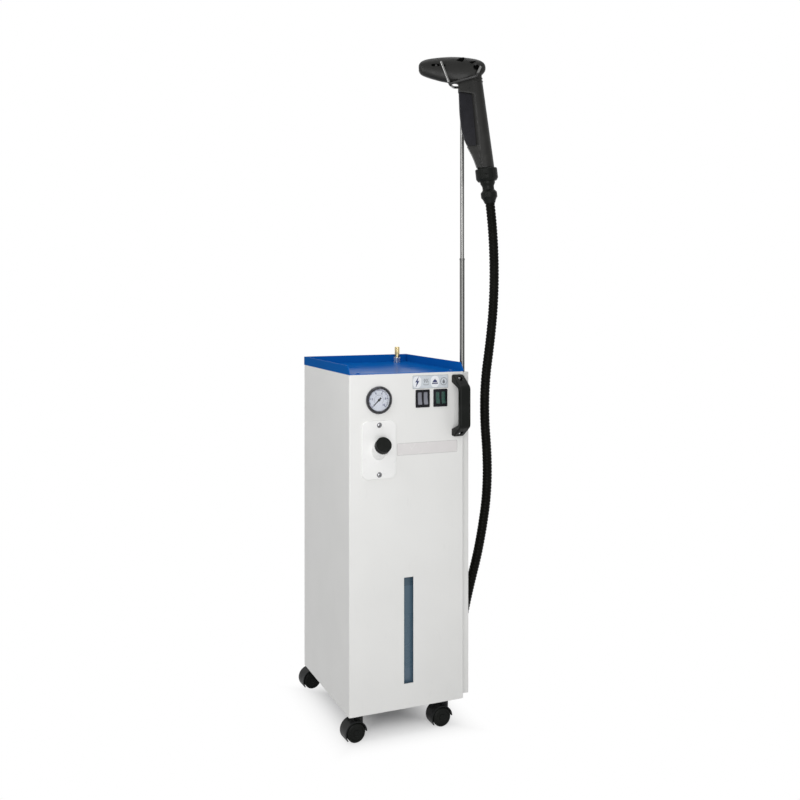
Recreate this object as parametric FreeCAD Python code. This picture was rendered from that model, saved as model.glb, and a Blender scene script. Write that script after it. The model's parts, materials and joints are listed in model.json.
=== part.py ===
import FreeCAD, Part
import math
import os

V = FreeCAD.Vector

# Jewelry steam cleaner: a sheet metal cabinet on casters, with a tray on top, a boiler and a
# water tank inside, and a steam gun on a hose that hangs on a tall rod at the right.
# Sizes are millimetres. While the pieces are made, the zero point is the front left bottom
# corner of the cabinet: x to the right, y to the rear, z up. The last step moves the whole
# machine so that the origin is on the floor, at the plan centre of everything but the hose.

# ---- cabinet ----
cabinet_width = 278.0
cabinet_depth = 336.0
cabinet_height = 750.0
ground_clearance = 65.0
sheet = 1.5                  # thickness of every folded sheet
bend_radius = 3.0            # outside radius of the folds
flange = 14.0                # width of the turned edges
pan_wall = 30.0
pan_tongue = 36.0            # how far the base reaches behind the cabinet, for the casters
pan_tongue_lip = 12.0
pan_tongue_gap = 1.0         # from the tongue to what it passes
hole_gap = 0.2               # radial room of a hole round a fixed part
running_gap = 0.05           # radial room of a bearing or a pin that turns

# ---- tray ----
tray_wall = 19.0
tray_chamfer = 14.0
tray_screw_inset = 14.0      # from the front and rear edges of the tray
tray_screw_spread = 226.0    # from the left screw to the right one
screw_head_radius = 4.0
screw_head_height = 2.4
screw_shank_radius = 2.0
screw_shank_length = 9.0

# ---- steam outlet on the tray ----
spigot_side_inset = 39.6     # from the cabinet's right side
spigot_rear_inset = 33.0     # from its rear
spigot_radius = 6.3
spigot_thread_radius = 5.0   # from the top of the nut down
spigot_bore = 3.2
spigot_height = 40.0         # above the floor of the tray
spigot_depth = 16.0          # below it
spigot_nut_flats = 16.0
spigot_nut_height = 13.0
spigot_relief = 0.6          # from the nut to the full radius
nut_corner = 1.0

# ---- rear panel ----
panel_reveal = 1.0
louvre_length = 72.0
louvre_radius = 6.0
louvre_skin = 1.2
louvre_pitch = 22.0
louvre_rows = 8
louvre_spread = 116.0        # from one column to the other
louvre_drop = 60.0           # from the cabinet's top to the highest louvre
panel_screw_inset = 8.0
inlet_x = 70.0
inlet_z = 60.0
inlet_width = 50.0
inlet_height = 28.0
inlet_mouth_width = 25.0
inlet_mouth_height = 17.0
inlet_mouth_depth = 20.0
inlet_flange = 3.0
inlet_pin_length = 13.0

# ---- pressure gauge ----
gauge_x = 69.3
gauge_drop = 57.0            # from the cabinet's top to the gauge's middle
gauge_radius = 30.5          # outside of the bezel
gauge_window = 24.6
gauge_stand = 6.5            # how far the bezel stands out of the panel
gauge_case_radius = 26.5
gauge_case_depth = 30.0
gauge_stem_radius = 5.0
gauge_stem_length = 12.0
gauge_dial_thickness = 1.0
gauge_glass_thickness = 1.4
gauge_dial_setback = 6.2     # from the front of the bezel to the dial
needle_length = 19.0
needle_tail = 7.0
needle_thickness = 0.8
needle_hub_radius = 2.8
spindle_radius = 1.0
needle_rest_angle = 225.0    # the zero mark, seen from the front, from 3 o'clock

# ---- switches ----
switch_width = 34.5
switch_height = 40.0
switch_drop = 58.0           # from the cabinet's top to the switches' middle
switch_left_x = 175.2
switch_right_x = 219.3
switch_stand = 2.5
switch_body_depth = 24.0
switch_body_margin = 3.0     # the body behind the panel is smaller than its frame
rocker_width = 9.6
rocker_height = 29.0
rocker_offset = 7.2          # from the middle of the switch to a rocker
rocker_gap = 0.5
rocker_corner = 3.0
rocker_pin_radius = 1.2
rocker_pin_length = 1.4
rocker_pivot_depth = 2.6     # behind the face of the panel
rocker_throw = 14.0          # degrees from off to on

# ---- water filler ----
filler_x = 69.3
filler_drop = 102.0          # from the cabinet's top to the filler's plate
filler_plate_height = 130.0
filler_plate_width = 81.0
filler_plate_thickness = 3.5
filler_plate_corner = 15.0
filler_screw_spread = 110.0
filler_screw_radius = 6.0
neck_rise = 62.0             # from the plate's lower edge to the middle of the neck's foot
neck_tilt = 31.0             # degrees above level
neck_radius = 16.0
neck_bore = 11.5
neck_thread_radius = 14.5
neck_length = 34.0           # along its axis, from the panel's face to its rim
neck_thread_length = 11.0
neck_tail = 26.0             # along its axis, behind the panel's face
skirt_radius = 18.6
skirt_length = 20.0
skirt_ribs = 16
cap_radius = 17.8
cap_top = 3.0
cap_knurls = 20
seal_thickness = 2.0
seal_pin_radius = 3.0
seal_pin_length = 1.5

# ---- bridge handle ----
handle_x = 261.5
handle_width = 27.0
handle_drop = 6.4            # from the cabinet's top to the handle's
handle_length = 140.6
handle_reach = 45.0
handle_slope = 25.0          # height of the slanted part at each end
handle_foot_face = 9.0       # how far a foot stands out before it slants
handle_foot = 16.0           # height of a foot where it meets the panel
handle_grip = 10.0           # thickness of the part that is held
handle_gap_slope = 13.0      # height of the finger gap's slanted ends
handle_edge = 4.0
handle_screw_inset = 8.6
handle_screw_radius = 4.5
handle_counterbore = 5.2
handle_seat = 8.0            # from the panel to the seat of the screw's head

# ---- level window and water tank ----
window_left = 130.0
window_right = 153.0
window_bottom = 55.0
window_below_tank = 39.0     # from the top of the tank to the top of the window
tank_setback = 9.0
tank_floor = 14.0            # above the base pan's underside, clear of the casters' nuts
tank_foot_width = 22.0
tank_side = 24.0
tank_headroom = 18.0         # from the tank to the shelf above it
tank_depth = 130.0
tank_corner = 12.0

# ---- boiler and what it needs ----
shelf_drop = 400.0           # from the cabinet's top to the boiler's shelf
boiler_x = 146.0
boiler_setback = 122.0       # from the cabinet's rear to the boiler's axis
boiler_radius = 74.0
boiler_wall = 3.0
boiler_height = 250.0
boiler_dome = 26.0
boiler_stand = 16.0          # room under the element's flange
element_flange_radius = 30.0
element_flange_height = 8.0
element_hole_radius = 25.0
element_tube_radius = 4.0
element_loop = 26.0
element_height = 130.0
pipe_radius = 4.0
pipe_bend = 14.0
thin_pipe_radius = 2.0
port_radius = 8.0            # the boiler's welded ports
port_length = 7.0
feed_port_height = 60.0      # above the boiler's floor
hose_port_height = 200.0
gauge_port_height = 226.0
gauge_line_setback = 70.0    # from the panel to the gauge line's upright
gauge_line_bend = 8.0
feed_pipe_x = 32.0
hose_pipe_x = 238.0
fill_pipe_y = 28.0
fill_bend_rise = 15.0        # from the filler plate's lower edge to the pipe's bend
pump_x = 96.0
pump_z = 62.0
pump_radius = 24.0
pump_length = 92.0
valve_size = 28.0
coil_size = 34.0
coil_length = 40.0

# ---- rod and its channel ----
channel_width = 22.0
channel_depth = 22.0
channel_front = 18.0         # from the cabinet's front face
channel_margin = 3.0         # the channel is this much shorter at each end
lower_rod_radius = 5.7
upper_rod_radius = 4.8
rod_wall = 1.1
rod_insertion = 190.0        # how far the rod stands down in the cabinet's height
rod_step_rise = 261.0        # from the cabinet's top to the rod's step
rod_rise = 655.0             # from the cabinet's top to the rod's top
rod_overlap = 80.0
rod_collar_radius = 6.3
rod_collar_height = 5.0

# ---- steam gun and its cradle, in a plane turned towards the front left ----
# Points are (along the plane from the rod, height), with the rod's top at gun_datum.
gun_datum = 1405.0
gun_turn = 22.62             # degrees from the cabinet's front, about the rod
gun_stand = 25.0             # from the rod's axis to the gun's middle plane
head_half = 17.0
head_edge = 9.0
grip_top = (29.0, 1424.0)
grip_end = (53.3, 1216.0)
grip_top_radius = 15.0
grip_end_radius = 19.6
wire_radius = 3.0
bar_wire_radius = 2.7        # the bar before the head, welded to the arm
wire_bend = 8.0
wire_end_fillet = 1.6
cradle_left = 30.8
cradle_right = 29.0
cradle_z = 1405.0
cradle_arm_x = -20.0
cradle_arm_z = 1408.5
cradle_left_tip = (-51.8, 1458.0)
cradle_right_tip = (39.5, 1447.0)
cradle_rise = 19.0           # the right end of the front bar is this much higher
cradle_reach = 47.0
boss_radius = 6.2
boss_height = 16.0           # how far the boss reaches down the rod
boss_cap = 8.0               # and how far it stands above the rod
boss_edge = 1.5
nozzle_z = 1447.0
nozzle_radius = 6.0
nozzle_bore = 3.0
nozzle_length = 36.0
nozzle_setback = 1.5
nose_x = -102.3
head_points = [
    (nose_x, 1447.5),
    (-93.0, 1464.0),
    (-70.0, 1469.6),
    (-25.0, 1473.5),
    (20.0, 1469.8),
    (44.0, 1463.0),
    (52.6, 1448.0),
    (44.0, 1432.0),
    (15.0, 1412.0),
    (-15.0, 1410.0),
    (-40.0, 1413.5),
    (-72.0, 1421.8),
    (-94.0, 1430.5),
]
throat_half = 13.0
throat_points = [(-10.0, 1392.0), (20.0, 1386.0), (38.0, 1400.0), (42.0, 1432.0), (-10.0, 1432.0)]
beak_half = 12.0             # the fixed guard below the trigger's paddle
beak_points = [
    (11.5, 1264.2),
    (19.9, 1250.5),
    (24.8, 1240.3),
    (28.7, 1230.0),
    (33.4, 1217.7),
    (50.0, 1217.7),
    (46.0, 1264.2),
]
gun_screw_points = [(-62.0, 1450.5), (28.0, 1453.0)]
gun_screw_radius = 2.6
gun_screw_depth = 1.5
trigger_pivot = (14.5, 1398.4)
trigger_front = [
    (-9.7, 1390.0),
    (-8.7, 1363.6),
    (-7.7, 1343.1),
    (-5.6, 1322.5),
    (-3.2, 1306.0),
    (0.5, 1291.7),
    (4.0, 1281.4),
    (11.5, 1266.0),
]
trigger_rear = [(32.3, 1266.0), (29.0, 1300.0), (25.2, 1340.0), (20.6, 1390.0)]
trigger_lug = [(-6.0, 1385.0), (11.5, 1385.0), (19.0, 1396.0), (16.0, 1403.0), (10.0, 1403.0)]
trigger_slot = [
    (-24.0, 1391.5),
    (-24.0, 1264.5),
    (45.0, 1264.5),
    (38.8, 1300.0),
    (31.5, 1340.0),
    (24.0, 1385.0),
    (24.0, 1406.5),
    (4.0, 1406.5),
]
trigger_half = 7.0
trigger_side_gap = 0.8
trigger_pin_radius = 2.0
trigger_pin_half = 13.5
trigger_boss_radius = 6.0
lock_length = 12.0
lock_half = 4.0
lock_travel = 7.0
lock_floor = 1464.0
lock_top = 1470.5
lock_start = -6.5
lock_gap = 0.4
collar_radius = 25.3
collar_length = 29.0
collar_slot_width = 7.0
collar_slot_height = 3.6
gland_length = 51.0
gland_nut_radius = 18.8

# ---- hose ----
hose_radius = 11.0
elbow_radius = 9.0
elbow_nut_radius = 14.0
elbow_rear_inset = 21.0      # from the cabinet's rear
elbow_z = 160.0
elbow_out = 27.0
elbow_drop = 32.0
elbow_tail = 10.0
# From the gun's gland down past the right side of the cabinet, and up into the elbow.
hose_route = [
    (337.16, -18.15, 1136.44),
    (343.58, -20.83, 1076.95),
    (346.0, -24.0, 960.0),
    (342.0, -19.0, 850.0),
    (320.0, -15.0, 690.0),
    (348.5, 8.0, 500.0),
    (336.5, 28.0, 346.0),
    (317.5, 57.0, 220.0),
    (307.0, 76.0, 124.0),
    (305.0, 78.0, 25.0),
    (305.0, 148.0, -46.0),
    (305.0, 245.0, -46.0),
    (305.0, 315.0, 30.0),
    (305.0, 315.0, 128.0),
]

# ---- casters ----
caster_inset = 34.0
caster_rear_inset = 19.0      # from the rear edge of the base's tongue
caster_trail = 12.0
wheel_radius = 21.5
wheel_width = 13.0
wheel_edge = 2.5
wheel_dish = 1.5
web_thickness = 9.0
wheel_gap = 0.6              # between a wheel and the web
axle_radius = 3.0
axle_reach = 11.0            # into each wheel
fender_gap = 1.8
fender_skin = 2.6
fender_from = 2.0            # degrees, from the stem's side over the top to the rear
fender_to = 216.0
stem_radius = 4.0
stem_boss_radius = 10.0
stem_flange_radius = 10.0
stem_flange_height = 2.0
stem_gap = 0.4
stem_depth = 13.0
stem_nut_flats = 13.0
stem_nut_height = 6.0
# Each caster's place and the way it trails, in degrees from the cabinet's right.
casters = [
    ("front_left", 0, 0, 183.0),
    ("front_right", 1, 0, 180.0),
    ("rear_left", 0, 1, 183.0),
    ("rear_right", 1, 1, 80.0),
]


# ---- helpers ----

def block(x0, x1, y0, y1, z0, z1):
    return Part.makeBox(x1 - x0, y1 - y0, z1 - z0, V(x0, y0, z0))


def round_bar(radius, start, end):
    axis = V(*end) - V(*start)
    return Part.makeCylinder(radius, axis.Length, V(*start), axis)


def rounded_wire(points, radius, closed=True):
    """A path of straight runs with an arc of the given radius at each corner."""
    corners = [V(*p) for p in points]
    count = len(corners)
    radii = radius if isinstance(radius, (list, tuple)) else [radius] * count
    ends = []
    for i in range(count):
        here = corners[i]
        if radii[i] == 0 or (not closed and i in (0, count - 1)):
            ends.append((here, None, here))
            continue
        back = (corners[i - 1] - here).normalize()
        ahead = (corners[(i + 1) % count] - here).normalize()
        half = back.getAngle(ahead) / 2
        cut = radii[i] / math.tan(half)
        inward = (back + ahead).normalize()
        crown = here + inward * (radii[i] / math.sin(half) - radii[i])
        ends.append((here + back * cut, crown, here + ahead * cut))
    edges = []
    for i in range(count):
        first, between, last = ends[i]
        if between is not None:
            edges.append(Part.Arc(first, between, last).toShape())
        following = ends[(i + 1) % count][0]
        if (closed or i < count - 1) and (following - last).Length > 1e-6:
            edges.append(Part.LineSegment(last, following).toShape())
    return Part.Wire(edges)


def prism(points, radius, sweep):
    """A flat outline with rounded corners, drawn out along the vector sweep."""
    return Part.Face(rounded_wire(points, radius)).extrude(V(*sweep))


def rounded_block(x0, x1, y0, y1, z0, z1, radius):
    corners = [(x0, y0, z0), (x1, y0, z0), (x1, y1, z0), (x0, y1, z0)]
    return prism(corners, radius, (0, 0, z1 - z0))


def turned(profile, centre=(0, 0, 0), direction=(0, 0, 1)):
    """A body of revolution: profile is (radius, height) pairs, turned about an axis."""
    points = [V(r, 0, h) for r, h in profile]
    edges = [Part.LineSegment(a, b).toShape() for a, b in zip(points, points[1:] + points[:1])]
    body = Part.Face(Part.Wire(edges)).revolve(V(0, 0, 0), V(0, 0, 1), 360)
    body.Placement = FreeCAD.Placement(V(*centre), FreeCAD.Rotation(V(0, 0, 1), V(*direction)))
    return body


def hexagon(flats, height, centre, direction=(0, 0, 1)):
    radius = flats / math.sqrt(3)
    corners = [(radius * math.cos(math.radians(a)), radius * math.sin(math.radians(a)), 0)
               for a in range(0, 360, 60)]
    body = prism(corners, 0, (0, 0, height))
    body.Placement = FreeCAD.Placement(V(*centre), FreeCAD.Rotation(V(0, 0, 1), V(*direction)))
    return body


def tube_along(path, radius):
    start = path.Edges[0].valueAt(path.Edges[0].FirstParameter)
    tangent = path.Edges[0].tangentAt(path.Edges[0].FirstParameter)
    ring = Part.Wire(Part.Circle(start, tangent, radius).toShape())
    return path.makePipeShell([ring], True, True)


def pipe(points, radius=pipe_radius, bend=pipe_bend):
    return tube_along(rounded_wire(points, bend, closed=False), radius)


def wire_end(body, tip, radius):
    """Round off the cut end of a wire whose last point is tip."""
    rim = [e for e in body.Edges if (e.CenterOfMass - V(*tip)).Length < 1e-3]
    return body.makeFillet(radius, rim)


def fused(first, *others):
    return first.fuse(list(others)).removeSplitter()


def screw(place, direction, head_radius, head_height, shank_radius, shank_length):
    """A pan head screw: place is under the head, direction points out of the head."""
    crown = head_height * 0.45
    return turned([(0, -shank_length), (shank_radius, -shank_length), (shank_radius, 0),
                   (head_radius, 0), (head_radius, head_height - crown),
                   (head_radius * 0.62, head_height), (0, head_height)], place, direction)


def screw_hole(place, direction, radius):
    reach = V(*direction) * screw_shank_length
    start = V(*place) + V(*direction)
    return Part.makeCylinder(radius + hole_gap, screw_shank_length + 1, start, reach * -1)


# ---- cabinet ----

shell_rear = cabinet_depth - sheet
gauge_z = cabinet_height - gauge_drop
switch_z = cabinet_height - switch_drop
filler_plate_top = cabinet_height - filler_drop
filler_plate_bottom = filler_plate_top - filler_plate_height
neck_z = filler_plate_bottom + neck_rise
handle_top = cabinet_height - handle_drop
handle_bottom = handle_top - handle_length
finger_depth = handle_reach - handle_grip
shelf_z = cabinet_height - shelf_drop
tank_height = shelf_z - tank_headroom - tank_floor
window_top = tank_floor + tank_height - window_below_tank
louvre_top = cabinet_height - louvre_drop
spigot_x = cabinet_width - spigot_side_inset
spigot_y = cabinet_depth - spigot_rear_inset
boiler_y = cabinet_depth - boiler_setback
elbow_y = cabinet_depth - elbow_rear_inset
rod_seat_z = cabinet_height - rod_insertion
rod_step_z = cabinet_height + rod_step_rise
rod_top_z = cabinet_height + rod_rise
inner_left = sheet
inner_right = cabinet_width - sheet
inner_front = sheet
inner_rear = shell_rear - sheet
inner_bend = bend_radius - sheet
elbow_start = (cabinet_width, elbow_y, elbow_z)
level_window = (window_left, window_right, -1, sheet + 1, window_bottom, window_top)
filler_centre_z = (filler_plate_bottom + filler_plate_top) / 2
handle_screw_heights = (handle_bottom + handle_screw_inset, handle_top - handle_screw_inset)
switch_centres = (switch_left_x, switch_right_x)


def tray_screw_places():
    middle = cabinet_width / 2
    return [(middle + side * tray_screw_spread / 2, y, cabinet_height + sheet)
            for side in (-1, 1) for y in (tray_screw_inset, cabinet_depth - tray_screw_inset)]


def panel_screw_places():
    rows = (panel_screw_inset, cabinet_height / 2, cabinet_height - panel_screw_inset)
    return [(x, cabinet_depth, z) for z in rows
            for x in (panel_screw_inset, cabinet_width - panel_screw_inset)]


def filler_screw_places():
    return [(filler_x, -filler_plate_thickness, filler_centre_z + side * filler_screw_spread / 2)
            for side in (-1, 1)]


def caster_place(column, row):
    x = caster_inset + column * (cabinet_width - 2 * caster_inset)
    y = cabinet_depth + pan_tongue - caster_rear_inset if row else caster_inset
    return x, y


def cabinet_shell():
    """Front and both sides folded from one sheet, with turned edges at the top and the rear."""
    shell = rounded_block(0, cabinet_width, 0, shell_rear, 0, cabinet_height, bend_radius)
    hollow = rounded_block(inner_left, inner_right, inner_front, inner_rear,
                           -1, cabinet_height - sheet, inner_bend)
    top = block(flange, cabinet_width - flange, flange, inner_rear - flange,
                cabinet_height - 2 * sheet, cabinet_height + 1)
    rear = block(flange, cabinet_width - flange, inner_rear - 1, shell_rear + 1,
                 -1, cabinet_height - flange)
    cuts = [hollow, top, rear, block(*level_window)]
    cuts.append(round_bar(gauge_case_radius + hole_gap, (gauge_x, -1, gauge_z),
                          (gauge_x, sheet + 1, gauge_z)))
    half_width = switch_width / 2 - switch_body_margin
    half_height = switch_height / 2 - switch_body_margin
    for x in switch_centres:
        cuts.append(block(x - half_width, x + half_width, -1, sheet + 1,
                          switch_z - half_height, switch_z + half_height))
    cuts.append(round_bar(skirt_radius, (filler_x, -1, neck_z), (filler_x, sheet + 1, neck_z)))
    for z in handle_screw_heights:
        cuts.append(round_bar(screw_shank_radius + hole_gap, (handle_x, -1, z),
                              (handle_x, sheet + 1, z)))
    cuts.append(round_bar(elbow_radius + hole_gap, (inner_right - 1, elbow_y, elbow_z),
                          (cabinet_width + 1, elbow_y, elbow_z)))
    for place in tray_screw_places():
        cuts.append(screw_hole(place, (0, 0, 1), screw_shank_radius))
    for place in panel_screw_places():
        cuts.append(screw_hole(place, (0, 1, 0), screw_shank_radius))
    for place in filler_screw_places():
        cuts.append(screw_hole(place, (0, -1, 0), screw_shank_radius))
    return shell.cut(cuts)


def base_pan():
    pan = rounded_block(inner_left, inner_right, inner_front, inner_rear, 0, pan_wall, inner_bend)
    inside = rounded_block(inner_left + sheet, inner_right - sheet, inner_front + sheet,
                           inner_rear - sheet, sheet, pan_wall + 1, inner_bend / 2)
    left, right = flange + pan_tongue_gap, cabinet_width - flange - pan_tongue_gap
    rear = cabinet_depth + pan_tongue
    tongue = block(left, right, inner_rear - bend_radius, rear, 0, sheet)
    outside = cabinet_depth + pan_tongue_gap
    lip = block(left, right, outside, rear, 0, pan_tongue_lip)
    lip = lip.cut(block(left + sheet, right - sheet, outside - 1, rear - sheet,
                        0, pan_tongue_lip + 1))
    holes = [round_bar(stem_radius + hole_gap, (*caster_place(i, j), -1),
                       (*caster_place(i, j), sheet + 1)) for _, i, j, _ in casters]
    holes += [screw_hole(p, (0, 1, 0), screw_shank_radius) for p in panel_screw_places()]
    return fused(pan.cut(inside), tongue, lip).cut(holes)


def louvre(x, z):
    """A pressed hood over a slot, open below."""
    def quarter(radius, length):
        bar = round_bar(radius, (x - length / 2, cabinet_depth, z),
                        (x + length / 2, cabinet_depth, z))
        keep = block(x - length, x + length, cabinet_depth, cabinet_depth + 2 * radius,
                     z, z + 2 * radius)
        return bar.common(keep)
    inside = quarter(louvre_radius - louvre_skin, louvre_length - 2 * louvre_skin)
    return quarter(louvre_radius, louvre_length).cut(inside)


def rear_panel():
    plate = block(panel_reveal, cabinet_width - panel_reveal, shell_rear, cabinet_depth,
                  sheet + panel_reveal, cabinet_height - panel_reveal)
    hoods = []
    slots = []
    for row in range(louvre_rows):
        z = louvre_top - row * louvre_pitch
        for side in (-1, 1):
            x = cabinet_width / 2 + side * louvre_spread / 2
            half = louvre_length / 2 - louvre_skin
            hoods.append(louvre(x, z))
            slots.append(block(x - half, x + half, shell_rear - 1, cabinet_depth + 1,
                               z, z + louvre_radius - louvre_skin))
    slots.append(block(inlet_x - inlet_width / 2 + inlet_flange,
                       inlet_x + inlet_width / 2 - inlet_flange, shell_rear - 1, cabinet_depth + 1,
                       inlet_z - inlet_height / 2 + inlet_flange,
                       inlet_z + inlet_height / 2 - inlet_flange))
    holes = [screw_hole(p, (0, 1, 0), screw_shank_radius) for p in panel_screw_places()]
    return fused(plate.cut(slots + holes), *hoods)


def top_tray():
    top = cabinet_height + sheet + tray_wall
    tray = block(0, cabinet_width, 0, cabinet_depth, cabinet_height, top)
    inside = block(sheet, cabinet_width - sheet, -1, cabinet_depth - sheet,
                   cabinet_height + sheet, top + 1)
    slant = [(-1, -1, cabinet_height + 2 * sheet), (-1, -1, top + 1), (-1, tray_chamfer, top + 1),
             (-1, tray_chamfer - 1, top), (-1, 0, cabinet_height + 3 * sheet)]
    ends = prism(slant, 0, (cabinet_width + 2, 0, 0))
    hole = round_bar(spigot_thread_radius + hole_gap, (spigot_x, spigot_y, cabinet_height - 1),
                     (spigot_x, spigot_y, cabinet_height + sheet + 1))
    holes = [screw_hole(p, (0, 0, 1), screw_shank_radius) for p in tray_screw_places()]
    return tray.cut([inside, ends, hole] + holes)


def cabinet_screws():
    places = [(p, (0, 0, 1)) for p in tray_screw_places()]
    places += [(p, (0, 1, 0)) for p in panel_screw_places()]
    return Part.makeCompound([screw(p, d, screw_head_radius, screw_head_height,
                                    screw_shank_radius, screw_shank_length) for p, d in places])


def mains_inlet():
    """A socket for a mains lead, with three pins."""
    y = cabinet_depth

    def around(width, height, y0, y1):
        return block(inlet_x - width / 2, inlet_x + width / 2, y0, y1,
                     inlet_z - height / 2, inlet_z + height / 2)
    body_width = inlet_width - 2 * inlet_flange
    body_height = inlet_height - 2 * inlet_flange
    body = fused(around(inlet_width, inlet_height, y, y + inlet_flange),
                 around(body_width, body_height, y - inlet_mouth_depth, y))
    mouth = around(inlet_mouth_width, inlet_mouth_height,
                   y + inlet_flange - inlet_mouth_depth, y + inlet_flange + 1)
    body = body.cut(mouth)
    floor = y + inlet_flange - inlet_mouth_depth
    pins = [block(inlet_x + dx - 1, inlet_x + dx + 1, floor, floor + inlet_pin_length,
                  inlet_z + dz - 2, inlet_z + dz + 2) for dx, dz in ((-7, -2), (0, 3), (7, -2))]
    return fused(body, *pins)


# ---- steam outlet ----

def steam_spigot():
    foot = cabinet_height + sheet
    shoulder = spigot_nut_height + spigot_relief
    return turned([(spigot_bore, -spigot_depth), (spigot_thread_radius, -spigot_depth),
                   (spigot_thread_radius, shoulder), (spigot_radius, shoulder),
                   (spigot_radius, spigot_height - 1), (spigot_radius - 1, spigot_height),
                   (spigot_bore, spigot_height)], (spigot_x, spigot_y, foot))


def spigot_nut():
    foot = cabinet_height + sheet
    nut = hexagon(spigot_nut_flats, spigot_nut_height, (spigot_x, spigot_y, foot))
    corner = spigot_nut_flats / 2 + nut_corner
    limit = turned([(0, 0), (corner, 0), (corner, spigot_nut_height - nut_corner),
                    (corner - nut_corner, spigot_nut_height), (0, spigot_nut_height)],
                   (spigot_x, spigot_y, foot))
    bore = round_bar(spigot_thread_radius, (spigot_x, spigot_y, foot - 1),
                     (spigot_x, spigot_y, foot + spigot_nut_height + 1))
    return nut.common(limit).cut(bore)


# ---- gauge ----

def gauge_axis(depth):
    return gauge_x, depth, gauge_z


gauge_dial_front = gauge_dial_setback - gauge_stand
gauge_dial_rear = gauge_dial_front + gauge_dial_thickness


def gauge_case():
    stem = round_bar(gauge_stem_radius, gauge_axis(gauge_case_depth),
                     gauge_axis(gauge_case_depth + gauge_stem_length))
    body = round_bar(gauge_case_radius, gauge_axis(gauge_dial_rear), gauge_axis(gauge_case_depth))
    well = round_bar(spindle_radius + 3, gauge_axis(gauge_dial_rear - 1), gauge_axis(12))
    return fused(body, stem).cut(well)


def gauge_bezel():
    face = gauge_stand
    return turned([(gauge_case_radius, 0), (gauge_radius, 0), (gauge_radius, face - 2.5),
                   (gauge_radius - 2, face), (gauge_window + 1, face),
                   (gauge_window, face - 1.2), (gauge_window, face - 2.6),
                   (gauge_case_radius, face - 2.6)], gauge_axis(0), (0, -1, 0))


def gauge_glass():
    front = 2.6 - gauge_stand
    return round_bar(gauge_case_radius, gauge_axis(front), gauge_axis(front + gauge_glass_thickness))


def gauge_dial():
    disc = round_bar(gauge_case_radius, gauge_axis(gauge_dial_front), gauge_axis(gauge_dial_rear))
    hole = round_bar(spindle_radius + running_gap, gauge_axis(gauge_dial_front - 1),
                     gauge_axis(gauge_dial_rear + 1))
    return disc.cut(hole)


def gauge_needle():
    back = gauge_dial_front - 0.7
    front = back - needle_thickness
    corners = [(needle_length, front, 0), (needle_length - 4, front, 0.7), (0, front, 1.5),
               (-needle_tail, front, 1.9), (-needle_tail, front, -1.9), (0, front, -1.5),
               (needle_length - 4, front, -0.7)]
    blade = prism(corners, 0, (0, needle_thickness, 0))
    hub = round_bar(needle_hub_radius, (0, front - 0.4, 0), (0, back + 0.3, 0))
    spindle = round_bar(spindle_radius, (0, back, 0), (0, gauge_dial_rear + 4, 0))
    needle = fused(blade, hub, spindle)
    needle.rotate(V(0, 0, 0), V(0, -1, 0), needle_rest_angle)
    needle.translate(V(gauge_x, 0, gauge_z))
    return needle


# ---- switches ----

def rocker_places(switch_x):
    return switch_x - rocker_offset, switch_x + rocker_offset


def switch_frame(x):
    def around(half_width, half_height, y0, y1, radius):
        corners = [(x - half_width, y0, switch_z - half_height),
                   (x + half_width, y0, switch_z - half_height),
                   (x + half_width, y0, switch_z + half_height),
                   (x - half_width, y0, switch_z + half_height)]
        return prism(corners, radius, (0, y1 - y0, 0))
    face = around(switch_width / 2, switch_height / 2, -switch_stand, 0, 2.0)
    rim = [e for e in face.Edges if abs(e.CenterOfMass.y + switch_stand) < 1e-3]
    face = face.makeChamfer(0.8, rim)
    body = around(switch_width / 2 - switch_body_margin, switch_height / 2 - switch_body_margin,
                  0, switch_body_depth, 0)
    frame = fused(face, body)
    cuts = []
    half = rocker_width / 2 + rocker_gap
    tall = rocker_height / 2 + rocker_gap
    for centre in rocker_places(x):
        pocket = [(centre - half, -switch_stand - 1, switch_z - tall),
                  (centre + half, -switch_stand - 1, switch_z - tall),
                  (centre + half, -switch_stand - 1, switch_z + tall),
                  (centre - half, -switch_stand - 1, switch_z + tall)]
        cuts.append(prism(pocket, rocker_corner + rocker_gap,
                          (0, switch_stand + 1 + rocker_pivot_depth + 9, 0)))
        reach = rocker_width / 2 + rocker_pin_length + 0.2
        cuts.append(round_bar(rocker_pin_radius + running_gap,
                              (centre - reach, rocker_pivot_depth, switch_z),
                              (centre + reach, rocker_pivot_depth, switch_z)))
    return frame.cut(cuts)


def rocker(centre):
    """A rocker at rest in its off place, tipped half its throw."""
    half = rocker_height / 2
    outline = [(0, -5.6, half), (0, -3.6, 0), (0, -5.6, -half), (0, 1.0, -half + 1.5),
               (0, 4.5, -3), (0, 4.5, 3), (0, 1.0, half - 1.5)]
    body = prism(outline, [1.2, 12, 1.2, 1, 1, 1, 1], (rocker_width, 0, 0))
    body.translate(V(-rocker_width / 2, 0, 0))
    wide = rocker_width / 2
    face = [(-wide, -10, -half), (wide, -10, -half), (wide, -10, half), (-wide, -10, half)]
    body = body.common(prism(face, rocker_corner, (0, 20, 0)))
    reach = rocker_width / 2 + rocker_pin_length
    body = fused(body, round_bar(rocker_pin_radius, (-reach, 0, 0), (reach, 0, 0)))
    body.rotate(V(0, 0, 0), V(1, 0, 0), -rocker_throw / 2)
    body.translate(V(centre, rocker_pivot_depth, switch_z))
    return body


# ---- water filler ----

neck_axis = V(0, -math.cos(math.radians(neck_tilt)), math.sin(math.radians(neck_tilt)))
neck_foot = V(filler_x, 0, neck_z)


def on_neck(distance):
    point = neck_foot + neck_axis * distance
    return point.x, point.y, point.z


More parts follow.
